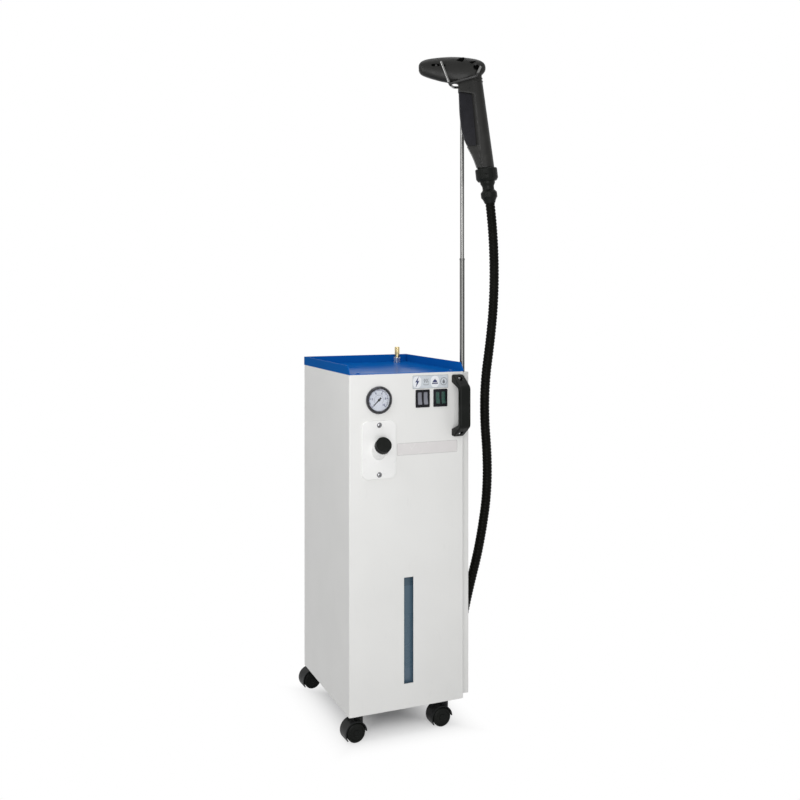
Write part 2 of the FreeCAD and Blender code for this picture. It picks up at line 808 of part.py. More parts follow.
def filler_neck():
    """A moulded plate with a slanted neck and a ribbed skirt round its foot."""
    left = filler_x - filler_plate_width / 2
    right = filler_x + filler_plate_width / 2
    corners = [(left, 0, filler_plate_bottom), (right, 0, filler_plate_bottom),
               (right, 0, filler_plate_top), (left, 0, filler_plate_top)]
    plate = prism(corners, filler_plate_corner, (0, -filler_plate_thickness, 0))
    rim = [e for e in plate.Edges if abs(e.CenterOfMass.y + filler_plate_thickness) < 1e-3]
    plate = plate.makeFillet(1.6, rim)
    shoulder = neck_length - neck_thread_length
    neck = turned([(neck_bore, -neck_tail), (neck_radius, -neck_tail), (neck_radius, shoulder),
                   (neck_thread_radius, shoulder), (neck_thread_radius, neck_length),
                   (neck_bore, neck_length)], on_neck(0), neck_axis)
    skirt = turned([(0, -20), (skirt_radius, -20), (skirt_radius, skirt_length - 5),
                    (neck_radius + 1.2, skirt_length), (0, skirt_length)], on_neck(0), neck_axis)
    ribs = []
    for i in range(skirt_ribs):
        groove = round_bar(1.6, (skirt_radius + 0.8, 0, 6.0), (skirt_radius + 0.8, 0, 18.0))
        groove.rotate(V(0, 0, 0), V(0, 0, 1), 360.0 * i / skirt_ribs)
        groove.Placement = FreeCAD.Placement(
            V(*on_neck(0)), FreeCAD.Rotation(V(0, 0, 1), neck_axis)).multiply(groove.Placement)
        ribs.append(groove)
    ahead = block(left, right, -80, 0, filler_plate_bottom, filler_plate_top)
    behind = round_bar(skirt_radius - hole_gap, (filler_x, 0, neck_z), (filler_x, 40, neck_z))
    skirt = skirt.cut(ribs).common(ahead)
    inner = neck.common(fused(ahead, behind))
    bore = round_bar(neck_bore, on_neck(-neck_tail - 1), on_neck(neck_length + 1))
    body = fused(plate, skirt, inner).cut(bore)
    return body.cut([screw_hole(p, (0, -1, 0), screw_shank_radius) for p in filler_screw_places()])


def filler_screws():
    return Part.makeCompound([screw(p, (0, -1, 0), filler_screw_radius, 3.2, screw_shank_radius,
                                    screw_shank_length) for p in filler_screw_places()])


def cap_seal():
    """The gasket between the rim of the neck and the cap, on a pin that the cap turns on."""
    top = seal_thickness + seal_pin_length
    return turned([(0, 0), (neck_thread_radius - 0.5, 0), (neck_thread_radius - 0.5, seal_thickness),
                   (seal_pin_radius, seal_thickness), (seal_pin_radius, top), (0, top)],
                  on_neck(neck_length), neck_axis)


def filler_cap():
    roof = seal_thickness + cap_top
    depth = neck_thread_length - 0.8
    inner = neck_thread_radius + 2 * running_gap
    socket_radius = seal_pin_radius + running_gap
    socket_top = seal_thickness + seal_pin_length + 2 * running_gap
    socket = turned([(0, seal_thickness), (socket_radius, seal_thickness),
                     (socket_radius, socket_top), (0, socket_top)])
    body = turned([(0, seal_thickness), (inner, seal_thickness), (inner, -depth),
                   (cap_radius, -depth), (cap_radius, roof - 1.6), (cap_radius - 1.6, roof),
                   (0, roof)])
    body = body.cut(socket)
    knurls = []
    for i in range(cap_knurls):
        groove = round_bar(1.3, (cap_radius + 0.7, 0, -depth - 1), (cap_radius + 0.7, 0, roof - 2.4))
        groove.rotate(V(0, 0, 0), V(0, 0, 1), 360.0 * i / cap_knurls)
        knurls.append(groove)
    body = body.cut(knurls)
    body.Placement = FreeCAD.Placement(V(*on_neck(neck_length)),
                                       FreeCAD.Rotation(V(0, 0, 1), neck_axis))
    return body


# ---- bridge handle ----

def bridge_handle():
    left = handle_x - handle_width / 2
    reach = handle_reach
    outer = [(left, 0, handle_bottom), (left, -handle_foot_face, handle_bottom),
             (left, -reach, handle_bottom + handle_slope),
             (left, -reach, handle_top - handle_slope),
             (left, -handle_foot_face, handle_top), (left, 0, handle_top)]
    body = prism(outer, [0, 7, 12, 12, 7, 0], (handle_width, 0, 0))
    gap_top = handle_top - handle_foot
    gap_bottom = handle_bottom + handle_foot
    gap = [(left - 1, 1, gap_bottom), (left - 1, -finger_depth, gap_bottom + handle_gap_slope),
           (left - 1, -finger_depth, gap_top - handle_gap_slope), (left - 1, 1, gap_top)]
    sides = (left, left + handle_width)
    edges = [e for e in body.Edges
             if min(abs(e.CenterOfMass.x - s) for s in sides) < 1e-3 and e.CenterOfMass.y < -0.5]
    body = body.makeFillet(handle_edge, edges)
    body = body.cut(prism(gap, [0, 7, 7, 0], (handle_width + 2, 0, 0)))
    cuts = []
    for z in handle_screw_heights:
        cuts.append(round_bar(handle_counterbore, (handle_x, -reach - 1, z),
                              (handle_x, -handle_seat, z)))
        cuts.append(round_bar(screw_shank_radius + hole_gap, (handle_x, -handle_seat - 1, z),
                              (handle_x, 1, z)))
    return body.cut(cuts)


def handle_screws():
    return Part.makeCompound([screw((handle_x, -handle_seat, z), (0, -1, 0), handle_screw_radius, 4.6,
                                    screw_shank_radius, handle_seat + 8)
                              for z in handle_screw_heights])


# ---- inside the cabinet ----

def water_tank():
    tank = rounded_block(tank_side, cabinet_width - tank_side, inner_front + tank_setback,
                         inner_front + tank_setback + tank_depth, tank_floor, tank_height,
                         tank_corner)
    feet = [block(x - tank_foot_width / 2, x + tank_foot_width / 2,
                  inner_front + tank_setback + tank_corner,
                  inner_front + tank_setback + tank_depth - tank_corner, sheet, tank_floor)
            for x in (cabinet_width * 0.3, cabinet_width * 0.7)]
    mouth = round_bar(neck_bore, (filler_x, fill_pipe_y, tank_height - 1),
                      (filler_x, fill_pipe_y, tank_height + 8))
    outlet = (pump_x, inner_front + tank_setback + tank_depth, pump_z)
    port = round_bar(7, outlet, (outlet[0], outlet[1] + 6, outlet[2]))
    return fused(tank, mouth, port, *feet)


def boiler_shelf():
    left, right = inner_left, inner_right
    plate = block(left, right, inner_front, inner_rear, shelf_z - sheet, shelf_z)
    sides = [block(x0, x0 + sheet, inner_front, inner_rear, shelf_z - flange, shelf_z - sheet)
             for x0 in (left, right - sheet)]
    corners = rounded_block(left, right, inner_front, inner_rear, shelf_z - flange, shelf_z,
                            inner_bend)
    openings = [round_bar(element_flange_radius + 12, (boiler_x, boiler_y, shelf_z - 9),
                          (boiler_x, boiler_y, shelf_z + 1))]
    openings.append(round_bar(neck_radius + 3, (filler_x, fill_pipe_y, shelf_z - 9),
                              (filler_x, fill_pipe_y, shelf_z + 1)))
    openings += [round_bar(pipe_radius + 3, (x, y, shelf_z - 9), (x, y, shelf_z + 1))
                 for x, y in ((feed_pipe_x, pump_y), (hose_pipe_x, elbow_y))]
    return fused(plate, *sides).common(corners).cut(openings)


def boiler_port(direction, height):
    """The outer end of a port that points away from the boiler's axis, and its axis point."""
    middle = V(boiler_x, boiler_y, boiler_floor_z + height)
    end = middle + V(*direction) * (boiler_radius + port_length)
    return (middle.x, middle.y, middle.z), (end.x, end.y, end.z)


def boiler():
    """An upright pressure vessel with dished ends and three ports, standing on a ring."""
    height = boiler_height
    outer = boiler_radius
    inner = boiler_radius - boiler_wall
    floor = element_flange_height + boiler_stand
    vessel = turned([(element_hole_radius, floor), (outer - 18, floor), (outer, floor + 12),
                     (outer, floor + height - 12), (outer - 22, floor + height + boiler_dome - 10),
                     (14, floor + height + boiler_dome), (0, floor + height + boiler_dome),
                     (0, floor + height + boiler_dome - boiler_wall),
                     (13, floor + height + boiler_dome - boiler_wall),
                     (inner - 21, floor + height + boiler_dome - 13), (inner, floor + height - 13),
                     (inner, floor + 13), (inner - 17, floor + boiler_wall),
                     (element_hole_radius, floor + boiler_wall)], (boiler_x, boiler_y, shelf_z))
    ring = turned([(outer - 24, 0), (outer - 12, 0), (outer - 12, 3), (outer - 21, 3),
                   (outer - 21, floor), (outer - 24, floor)], (boiler_x, boiler_y, shelf_z))
    core = round_bar(outer - boiler_wall / 2, (boiler_x, boiler_y, boiler_floor_z),
                     (boiler_x, boiler_y, boiler_top_z))
    ports = [round_bar(port_radius, *boiler_port(*port)).cut(core)
             for port in (feed_port, hose_port, gauge_port)]
    return fused(vessel, ring, *ports)


boiler_floor_z = shelf_z + element_flange_height + boiler_stand
boiler_top_z = boiler_floor_z + boiler_height + boiler_dome
feed_port = ((-1, 0, 0), feed_port_height)
hose_port = ((0, 1, 0), hose_port_height)
gauge_port = ((0, -1, 0), gauge_port_height)
pump_y = boiler_y


def heating_element():
    """A flange under the boiler with two hairpin tubes that stand up inside it."""
    flange_disc = turned([(0, -element_flange_height), (element_flange_radius, -element_flange_height),
                          (element_flange_radius, 0), (element_hole_radius, 0),
                          (element_hole_radius, boiler_wall), (0, boiler_wall)],
                         (boiler_x, boiler_y, boiler_floor_z))
    loops = []
    for offset in (-9, 9):
        y = boiler_y + offset
        half = element_loop / 2
        low = boiler_floor_z + boiler_wall
        high = low + element_height
        loops.append(pipe([(boiler_x - half, y, low), (boiler_x - half, y, high),
                           (boiler_x + half, y, high), (boiler_x + half, y, low)],
                          element_tube_radius, element_loop / 2 - 1))
    return fused(flange_disc, *loops)


def feed_pump():
    """A small pump in a clamp on the base pan, lying from left to right."""
    half = pump_length / 2
    body = turned([(0, -half), (12, -half), (12, 12 - half), (pump_radius, 12 - half),
                   (pump_radius, half - 26), (16, half - 26), (16, half), (0, half)],
                  (pump_x, pump_y, pump_z), (1, 0, 0))
    post = block(pump_x - 30, pump_x - 4, pump_y - 16, pump_y + 16, sheet, pump_z)
    foot = block(pump_x - 38, pump_x + 4, pump_y - 24, pump_y + 24, sheet, sheet + 4)
    inlet = round_bar(7, (pump_x, pump_y - 40, pump_z), (pump_x, pump_y, pump_z))
    return fused(body, post, foot, inlet)


def steam_valve():
    """A solenoid valve under the steam outlet: a brass body and a coil beside it."""
    top = cabinet_height + sheet - spigot_depth
    half = valve_size / 2
    body = block(spigot_x - half, spigot_x + half, spigot_y - half, spigot_y + half,
                 top - valve_size, top)
    coil = block(spigot_x - coil_size / 2, spigot_x + coil_size / 2,
                 spigot_y - half - coil_length, spigot_y - half,
                 top - valve_size / 2 - coil_size / 2, top - valve_size / 2 + coil_size / 2)
    return fused(body, coil)


def pipework():
    tank_rear = inner_front + tank_setback + tank_depth
    valve_bottom = cabinet_height + sheet - spigot_depth - valve_size
    fill_end = on_neck(-neck_tail)
    fill_bend = (filler_x, fill_pipe_y, filler_plate_bottom + fill_bend_rise)
    fill = tube_along(rounded_wire([fill_end, on_neck(-neck_tail - 8), fill_bend,
                                    (filler_x, fill_pipe_y, tank_height + 8)],
                                   [0, 8, 20, 0], closed=False), neck_bore - 3)
    suction = pipe([(pump_x, tank_rear + 6, pump_z), (pump_x, pump_y - 40, pump_z)], 5.0)
    feed_end = boiler_port(*feed_port)[1]
    feed = pipe([(pump_x - pump_length / 2, pump_y, pump_z), (feed_pipe_x, pump_y, pump_z),
                 (feed_pipe_x, pump_y, feed_end[2]), feed_end])
    lift = boiler_top_z + 22
    steam = pipe([(boiler_x, boiler_y, boiler_top_z), (boiler_x, boiler_y, lift),
                  (spigot_x, spigot_y, lift), (spigot_x, spigot_y, valve_bottom)])
    hose_end = boiler_port(*hose_port)[1]
    to_hose = pipe([hose_end, (hose_end[0], elbow_y, hose_end[2]),
                    (hose_pipe_x, elbow_y, hose_end[2]), (hose_pipe_x, elbow_y, elbow_z),
                    (cabinet_width - elbow_tail, elbow_y, elbow_z)])
    gauge_end = boiler_port(*gauge_port)[1]
    to_gauge = pipe([gauge_end, (gauge_end[0], gauge_line_setback, gauge_end[2]),
                     (gauge_x, gauge_line_setback, gauge_end[2]),
                     (gauge_x, gauge_line_setback, gauge_z),
                     gauge_axis(gauge_case_depth + gauge_stem_length)],
                    thin_pipe_radius, gauge_line_bend)
    return Part.makeCompound([fill, suction, feed, steam, to_hose, to_gauge])


# ---- rod and its channel ----

rod_x = cabinet_width + channel_width / 2
rod_y = channel_front + channel_depth / 2


def rod_channel():
    low = channel_margin
    high = cabinet_height - channel_margin
    left, right = cabinet_width, cabinet_width + channel_width
    front, rear = channel_front, channel_front + channel_depth
    body = block(left, right, front, rear, low, high)
    upper = block(left + sheet, right - sheet, front + sheet, rear - sheet, rod_seat_z, high - sheet)
    lower = block(left + sheet, right - sheet, front + sheet, rear - sheet,
                  low - 1, rod_seat_z - sheet)
    hole = round_bar(lower_rod_radius + hole_gap, (rod_x, rod_y, high - 2 * sheet),
                     (rod_x, rod_y, high + 1))
    edges = [e for e in body.Edges if abs(e.tangentAt(e.FirstParameter).z) > 0.9
             and e.CenterOfMass.x > right - 0.1]
    return body.makeFillet(bend_radius / 2, edges).cut([upper, lower, hole])


def rod_lower_tube():
    outer = lower_rod_radius
    inner = upper_rod_radius
    top = rod_step_z - rod_seat_z
    return turned([(inner, 0), (outer, 0), (outer, top - rod_collar_height),
                   (rod_collar_radius, top - rod_collar_height + 1),
                   (rod_collar_radius, top - 1), (rod_collar_radius - 1, top), (inner, top)],
                  (rod_x, rod_y, rod_seat_z))


def rod_upper_tube():
    outer = upper_rod_radius
    inner = outer - rod_wall
    low = rod_step_z - rod_overlap
    return turned([(inner, 0), (outer, 0), (outer, rod_top_z - low), (inner, rod_top_z - low)],
                  (rod_x, rod_y, low))


# ---- steam gun: x runs along the gun, y away from the front left, z up, from the rod ----

def from_rod(shape):
    turn = FreeCAD.Placement(V(rod_x, rod_y, rod_top_z - gun_datum),
                             FreeCAD.Rotation(V(0, 0, 1), -gun_turn))
    shape.Placement = turn.multiply(shape.Placement)
    return shape


def gun_fork():
    """A wire cradle on the rod: an arm under the gun's head, a bar before it and two prongs."""
    left_tip = (cradle_left_tip[0], -cradle_reach, cradle_left_tip[1])
    right_tip = (cradle_right_tip[0], -cradle_reach, cradle_right_tip[1])
    front_left = (-cradle_left, -cradle_reach, cradle_z)
    front_right = (cradle_right, -cradle_reach, cradle_z + cradle_rise)
    bar_start = (-cradle_left, -cradle_reach + wire_bend / 4, cradle_z + wire_bend / 4)
    arm = pipe([(0, 0, cradle_arm_z), (cradle_arm_x, 0, cradle_arm_z), front_left, left_tip],
               wire_radius, wire_bend)
    bar = pipe([bar_start, front_right, right_tip], bar_wire_radius, wire_bend)
    arm = wire_end(arm, left_tip, wire_end_fillet)
    bar = wire_end(bar, right_tip, wire_end_fillet)
    edge = boss_cap - boss_edge
    boss = turned([(upper_rod_radius, -boss_height), (boss_radius, -boss_height), (boss_radius, edge),
                   (boss_radius - boss_edge, boss_cap), (0, boss_cap), (0, 0),
                   (upper_rod_radius, 0)], (0, 0, gun_datum))
    bore = round_bar(upper_rod_radius, (0, 0, gun_datum - boss_height - 1), (0, 0, gun_datum))
    return from_rod(fused(arm, bar, boss).cut(bore))


def head_outline():
    """The head seen from the side: a blunt nose at the left and a small tail at the right."""
    curve = Part.BSplineCurve()
    curve.interpolate([V(x, 0, z) for x, z in head_points], PeriodicFlag=True)
    return Part.Wire(curve.toShape())


def gun_plate(outline, half, radii=0):
    """A flat piece in the gun's middle plane."""
    plate = prism([(x, 0, z) for x, z in outline], radii, (0, 2 * half, 0))
    plate.translate(V(0, -gun_stand - half, 0))
    return plate


def gun_body():
    plane = -gun_stand
    head = Part.Face(head_outline()).extrude(V(0, 2 * head_half, 0))
    head.translate(V(0, plane - head_half, 0))
    head = head.makeFillet(head_edge, [e for e in head.Edges if len(e.Vertexes) < 2
                                       or e.Length > 200])
    top = V(grip_top[0], plane, grip_top[1])
    end = V(grip_end[0], plane, grip_end[1])
    grip = Part.makeCone(grip_top_radius, grip_end_radius, (end - top).Length, top, end - top)
    throat = gun_plate(throat_points, throat_half, [3, 0, 0, 0, 0])
    beak = gun_plate(beak_points, beak_half)
    return fused(head, grip, throat, beak)


def trigger_outline():
    """The paddle seen from the side: a curved front and a rear edge inside the grip."""
    front = Part.BSplineCurve()
    front.interpolate([V(x, 0, z) for x, z in trigger_front])
    corners = [V(x, 0, z) for x, z in (trigger_front[-1], *trigger_rear, trigger_front[0])]
    sides = [Part.LineSegment(a, b).toShape() for a, b in zip(corners, corners[1:])]
    return Part.Wire([front.toShape()] + sides)


def pivot_bar(radius, half):
    x, z = trigger_pivot
    return round_bar(radius, (x, -gun_stand - half, z), (x, -gun_stand + half, z))


def gun_trigger():
    paddle = Part.Face(trigger_outline()).extrude(V(0, 2 * trigger_half, 0))
    paddle.translate(V(0, -gun_stand - trigger_half, 0))
    sides = [e for e in paddle.Edges if abs(abs(e.CenterOfMass.y + gun_stand) - trigger_half) < 1e-3
             and e.CenterOfMass.x < 5 and e.Length > 60]
    paddle = paddle.makeFillet(3.0, sides)
    lug = gun_plate(trigger_lug, trigger_half)
    boss = pivot_bar(trigger_boss_radius, trigger_half)
    bore = pivot_bar(trigger_pin_radius + running_gap, trigger_half + 1)
    return from_rod(fused(paddle, lug, boss).cut(bore))


def trigger_room():
    """What is cut out of the grip so that the paddle can be pulled in."""
    return gun_plate(trigger_slot, trigger_half + trigger_side_gap)


def lock_room():
    half = lock_half + lock_gap
    start = lock_start - lock_gap
    end = lock_start + lock_length + lock_travel + lock_gap
    return block(start, end, -gun_stand - half, -gun_stand + half, lock_floor, lock_top + 10)


def gun_screw_places():
    front = -gun_stand - head_half
    return [(x, front, z) for x, z in gun_screw_points]


def gun_screw(place, length=22.0):
    x, y, z = place
    return turned([(0, 0), (gun_screw_radius, 0), (gun_screw_radius, 2.0), (1.4, 2.4),
                   (1.4, length), (0, length)], (x, y + gun_screw_depth, z), (0, 1, 0))


def gun_cuts():
    cuts = [trigger_room(), lock_room(), pivot_bar(trigger_pin_radius, trigger_pin_half)]
    cuts.append(round_bar(nozzle_radius, (nose_x - 20, -gun_stand, nozzle_z),
                          (nose_x + nozzle_length, -gun_stand, nozzle_z)))
    for x, y, z in gun_screw_places():
        cuts.append(round_bar(gun_screw_radius + 0.6, (x, y - 1, z), (x, y + gun_screw_depth, z)))
        cuts.append(gun_screw((x, y, z)))
    return cuts


def gun_shell(side):
    """Half of the gun's housing: side is -1 for the near half and 1 for the far half."""
    y0, y1 = sorted((-gun_stand, -gun_stand + side * 60))
    keep = block(-200, 200, y0, y1, 1000, 1600)
    return from_rod(gun_body().cut(gun_cuts()).common(keep))


def gun_screws():
    return from_rod(Part.makeCompound([gun_screw(p) for p in gun_screw_places()]))


def trigger_pin():
    return from_rod(pivot_bar(trigger_pin_radius, trigger_pin_half))


def gun_nozzle():
    start = nose_x + nozzle_setback
    return from_rod(turned([(nozzle_bore, 0), (nozzle_radius - 1, 0), (nozzle_radius, 1),
                            (nozzle_radius, nozzle_length - nozzle_setback),
                            (nozzle_bore, nozzle_length - nozzle_setback)],
                           (start, -gun_stand, nozzle_z), (1, 0, 0)))


def gun_lock():
    """A thumb slide on top of the head that locks the trigger."""
    start, end = lock_start, lock_start + lock_length
    foot = block(start, end, -gun_stand - lock_half, -gun_stand + lock_half,
                 lock_floor + 0.1, lock_top - 2)
    pad = [(start + 1, 0, lock_top - 2), (end - 1, 0, lock_top - 2), (end - 3, 0, lock_top + 1.5),
           (start + 3, 0, lock_top + 1.5)]
    top = prism(pad, 0, (0, 2 * lock_half - 1, 0))
    top.translate(V(0, -gun_stand - lock_half + 0.5, 0))
    return from_rod(fused(foot, top))


grip_axis = V(grip_end[0] - grip_top[0], 0, grip_end[1] - grip_top[1]).normalize()


def on_grip(distance):
    """A point on the grip's axis, this far past its lower end."""
    point = V(grip_end[0], -gun_stand, grip_end[1]) + grip_axis * distance
    return point.x, point.y, point.z


def gun_collar():
    collar = turned([(0, 0), (collar_radius - 1.5, 0), (collar_radius, 1.5),
                     (collar_radius, collar_length - 6), (collar_radius - 4, collar_length),
                     (0, collar_length)], on_grip(0), grip_axis)
    slot = [(-collar_slot_width / 2, 0, -collar_slot_height / 2),
            (collar_slot_width / 2, 0, -collar_slot_height / 2),
            (collar_slot_width / 2, 0, collar_slot_height / 2),
            (-collar_slot_width / 2, 0, collar_slot_height / 2)]
    hole = prism(slot, collar_slot_height / 2 - 0.05, (0, 8.0, 0))
    x, y, z = on_grip(collar_length / 2)
    hole.translate(V(x - 4.0, y - collar_radius - 3.0, z))
    grooves = []
    for i in range(6):
        groove = round_bar(3.0, (collar_radius + 1.8, 0, -1),
                           (collar_radius + 1.8, 0, collar_length + 1))
        groove.rotate(V(0, 0, 0), V(0, 0, 1), 60.0 * i)
        groove.Placement = FreeCAD.Placement(
            V(*on_grip(0)), FreeCAD.Rotation(V(0, 0, 1), grip_axis)).multiply(groove.Placement)
        grooves.append(groove)
    return from_rod(collar.cut([hole] + grooves))


def hose_gland():
    end = gland_length
    nut = gland_nut_radius
    return from_rod(turned([(0, 0), (17, 0), (17, 5), (13.5, 12), (13.5, 20), (nut - 1, 25),
                            (nut, 26.5), (nut, end - 13.5), (nut - 2, end - 11), (15, end - 8),
                            (hose_radius + 1, end), (0, end)], on_grip(collar_length), grip_axis))


# ---- hose ----

def hose_elbow():
    """The union on the right side that the hose goes up into."""
    x, y, z = elbow_start
    mouth = z - elbow_drop
    bend = pipe([(x - elbow_tail, y, z), (x + elbow_out, y, z), (x + elbow_out, y, mouth)],
                elbow_radius, 14.0)
    wall_nut = hexagon(2 * elbow_nut_radius, 6.0, (x, y, z), (1, 0, 0))
    inner_nut = hexagon(2 * elbow_nut_radius, 5.0, (inner_right - 5.0, y, z), (1, 0, 0))
    mouth_nut = hexagon(2 * elbow_nut_radius, 13.0, (x + elbow_out, y, mouth))
    return fused(bend, wall_nut, inner_nut, mouth_nut)


def hose_path():
    """Straight runs joined by arcs as large as the runs beside them allow."""
    points = [V(*p) for p in hose_route]
    radii = [0]
    for before, here, after in zip(points, points[1:], points[2:]):
        inward, outward = here - before, after - here
        turn = inward.getAngle(outward)
        radii.append(0.45 * min(inward.Length, outward.Length) / math.tan(turn / 2))
    radii.append(0)
    print("hose radii", [round(r) for r in radii[1:-1]])
    return rounded_wire(hose_route, radii, closed=False)


def steam_hose():
    path = hose_path()
    hose = tube_along(path, hose_radius)
    section = math.pi * hose_radius ** 2
    print("hose length", round(path.Length, 1), "volume ratio",
          round(hose.Volume / (section * path.Length), 4))
    return hose


# ---- casters ----

axle_z = wheel_radius - ground_clearance
wheel_inner = web_thickness / 2 + wheel_gap


def caster_frame(column, row, heading, shape):
    """Put a piece that is drawn round its stem, trailing along x, under its corner."""
    x, y = caster_place(column, row)
    place = FreeCAD.Placement(V(x, y, 0), FreeCAD.Rotation(V(0, 0, 1), heading))
    shape.Placement = place.multiply(shape.Placement)
    return shape


def caster_hood():
    """The caster's body: a web between the wheels, a fender over them, a boss and the axle."""
    half = web_thickness / 2
    centre = (caster_trail, 0, axle_z)
    ring_inner = wheel_radius + fender_gap
    ring_outer = ring_inner + fender_skin
    wide = wheel_inner + wheel_width - 1.0
    boss_top = -stem_flange_height - stem_gap

    def disc(radius, depth):
        return round_bar(radius, (caster_trail, -depth, axle_z), (caster_trail, depth, axle_z))
    ring = disc(ring_outer, wide).cut(disc(ring_inner, wide + 1))
    angles = [math.radians(180 - a) for a in (fender_from, (fender_from + fender_to) / 2, fender_to)]
    far = 2 * ring_outer
    wedge_points = [centre] + [(caster_trail + far * math.cos(a), 0, axle_z + far * math.sin(a))
                               for a in angles]
    wedge = prism(wedge_points, 0, (0, 2 * wide + 2, 0))
    wedge.translate(V(0, -wide - 1, 0))
    fender = ring.common(wedge)
    web = disc(ring_outer - 0.6, half).common(wedge)
    hub = disc(9.0, half)
    boss = round_bar(stem_boss_radius, (0, 0, axle_z + 12), (0, 0, boss_top))
    boss = boss.cut(disc(ring_inner, wide + 10).cut(disc(ring_inner + 1, half)))
    axle = disc(axle_radius, wheel_inner + axle_reach)
    socket = round_bar(stem_radius + running_gap, (0, 0, boss_top - stem_depth),
                       (0, 0, boss_top + 1))
    return fused(fender, web, hub, boss, axle).cut(socket)


def caster_wheel(side):
    """side is -1 for the wheel at the right of the trailing way and 1 for the other."""
    width = wheel_width
    rim = wheel_radius
    wheel = turned([(0, axle_reach + 0.4), (axle_radius + running_gap, axle_reach + 0.4),
                    (axle_radius + running_gap, 0), (rim - 1, 0), (rim, 1), (rim, width - wheel_edge),
                    (rim - wheel_edge / 2, width - wheel_edge / 3), (rim - wheel_edge, width),
                    (rim - 5, width), (rim - 6, width - wheel_dish),
                    (7, width - wheel_dish), (6, width), (0, width)],
                   (caster_trail, side * wheel_inner, axle_z), (0, side, 0))
    return wheel


def caster_stems():
    """Studs through the base pan, each with a collar below it and a nut above."""
    stems = []
    for _, column, row, _ in casters:
        x, y = caster_place(column, row)
        low = -stem_flange_height - stem_gap - stem_depth + 0.5
        collar = -stem_flange_height
        stud = turned([(0, low), (stem_radius, low), (stem_radius, collar),
                       (stem_flange_radius, collar), (stem_flange_radius, 0), (stem_radius, 0),
                       (stem_radius, sheet + stem_nut_height + 2),
                       (0, sheet + stem_nut_height + 2)], (x, y, 0))
        stems.append(fused(stud, hexagon(stem_nut_flats, stem_nut_height, (x, y, sheet))))
    return Part.makeCompound(stems)


# ---- the whole machine ----

def build():
    pieces = {
        "cabinet_shell": cabinet_shell(), "base_pan": base_pan(), "rear_panel": rear_panel(),
        "top_tray": top_tray(), "cabinet_screws": cabinet_screws(), "mains_inlet": mains_inlet(),
        "steam_spigot": steam_spigot(), "spigot_nut": spigot_nut(),
        "gauge_case": gauge_case(), "gauge_bezel": gauge_bezel(), "gauge_dial": gauge_dial(),
        "gauge_glass": gauge_glass(), "gauge_needle": gauge_needle(),
        "switch_frame_left": switch_frame(switch_left_x),
        "switch_frame_right": switch_frame(switch_right_x),
        "filler_neck": filler_neck(), "filler_screws": filler_screws(), "cap_seal": cap_seal(),
        "filler_cap": filler_cap(),
        "bridge_handle": bridge_handle(), "handle_screws": handle_screws(),
        "water_tank": water_tank(), "boiler_shelf": boiler_shelf(), "boiler": boiler(),
        "heating_element": heating_element(), "feed_pump": feed_pump(),
        "steam_valve": steam_valve(), "pipework": pipework(),
        "rod_channel": rod_channel(), "rod_lower_tube": rod_lower_tube(),
        "rod_upper_tube": rod_upper_tube(), "gun_fork": gun_fork(),
        "gun_shell_near": gun_shell(-1), "gun_shell_far": gun_shell(1),
        "gun_screws": gun_screws(), "gun_nozzle": gun_nozzle(), "gun_lock": gun_lock(),
        "gun_trigger": gun_trigger(), "trigger_pin": trigger_pin(),
        "gun_collar": gun_collar(), "hose_gland": hose_gland(),
        "hose_elbow": hose_elbow(), "steam_hose": steam_hose(),
        "caster_stems": caster_stems(),
    }
    names = ("steam_low", "steam_high", "heater_first", "heater_second")
    centres = rocker_places(switch_left_x) + rocker_places(switch_right_x)
    for name, centre in zip(names, centres):
        pieces["rocker_" + name] = rocker(centre)
    for name, column, row, heading in casters:
        pieces["caster_hood_" + name] = caster_frame(column, row, heading, caster_hood())
        for side, letter in ((-1, "a"), (1, "b")):
            pieces["caster_wheel_" + name + "_" + letter] = caster_frame(
                column, row, heading, caster_wheel(side))
    return pieces


def origin_shift(pieces):
    """From the cabinet's corner to the floor at the plan centre of all but the hose."""
    rigid = Part.makeCompound([s for name, s in pieces.items() if name != "steam_hose"])
    box = rigid.BoundBox
    return V(-(box.XMin + box.XMax) / 2, -(box.YMin + box.YMax) / 2, ground_clearance)


def main():
    os.makedirs("parts", exist_ok=True)
    pieces = build()
    shift = origin_shift(pieces)
    print("cabinet corner at", round(shift.x, 3), round(shift.y, 3), round(shift.z, 3))
    for name, shape in pieces.items():
        shape.translate(shift)
        shape.exportStep("parts/" + name + ".step")


main()
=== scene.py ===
import json
import math
import random

import bmesh
import bpy
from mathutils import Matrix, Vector
from mathutils.bvhtree import BVHTree


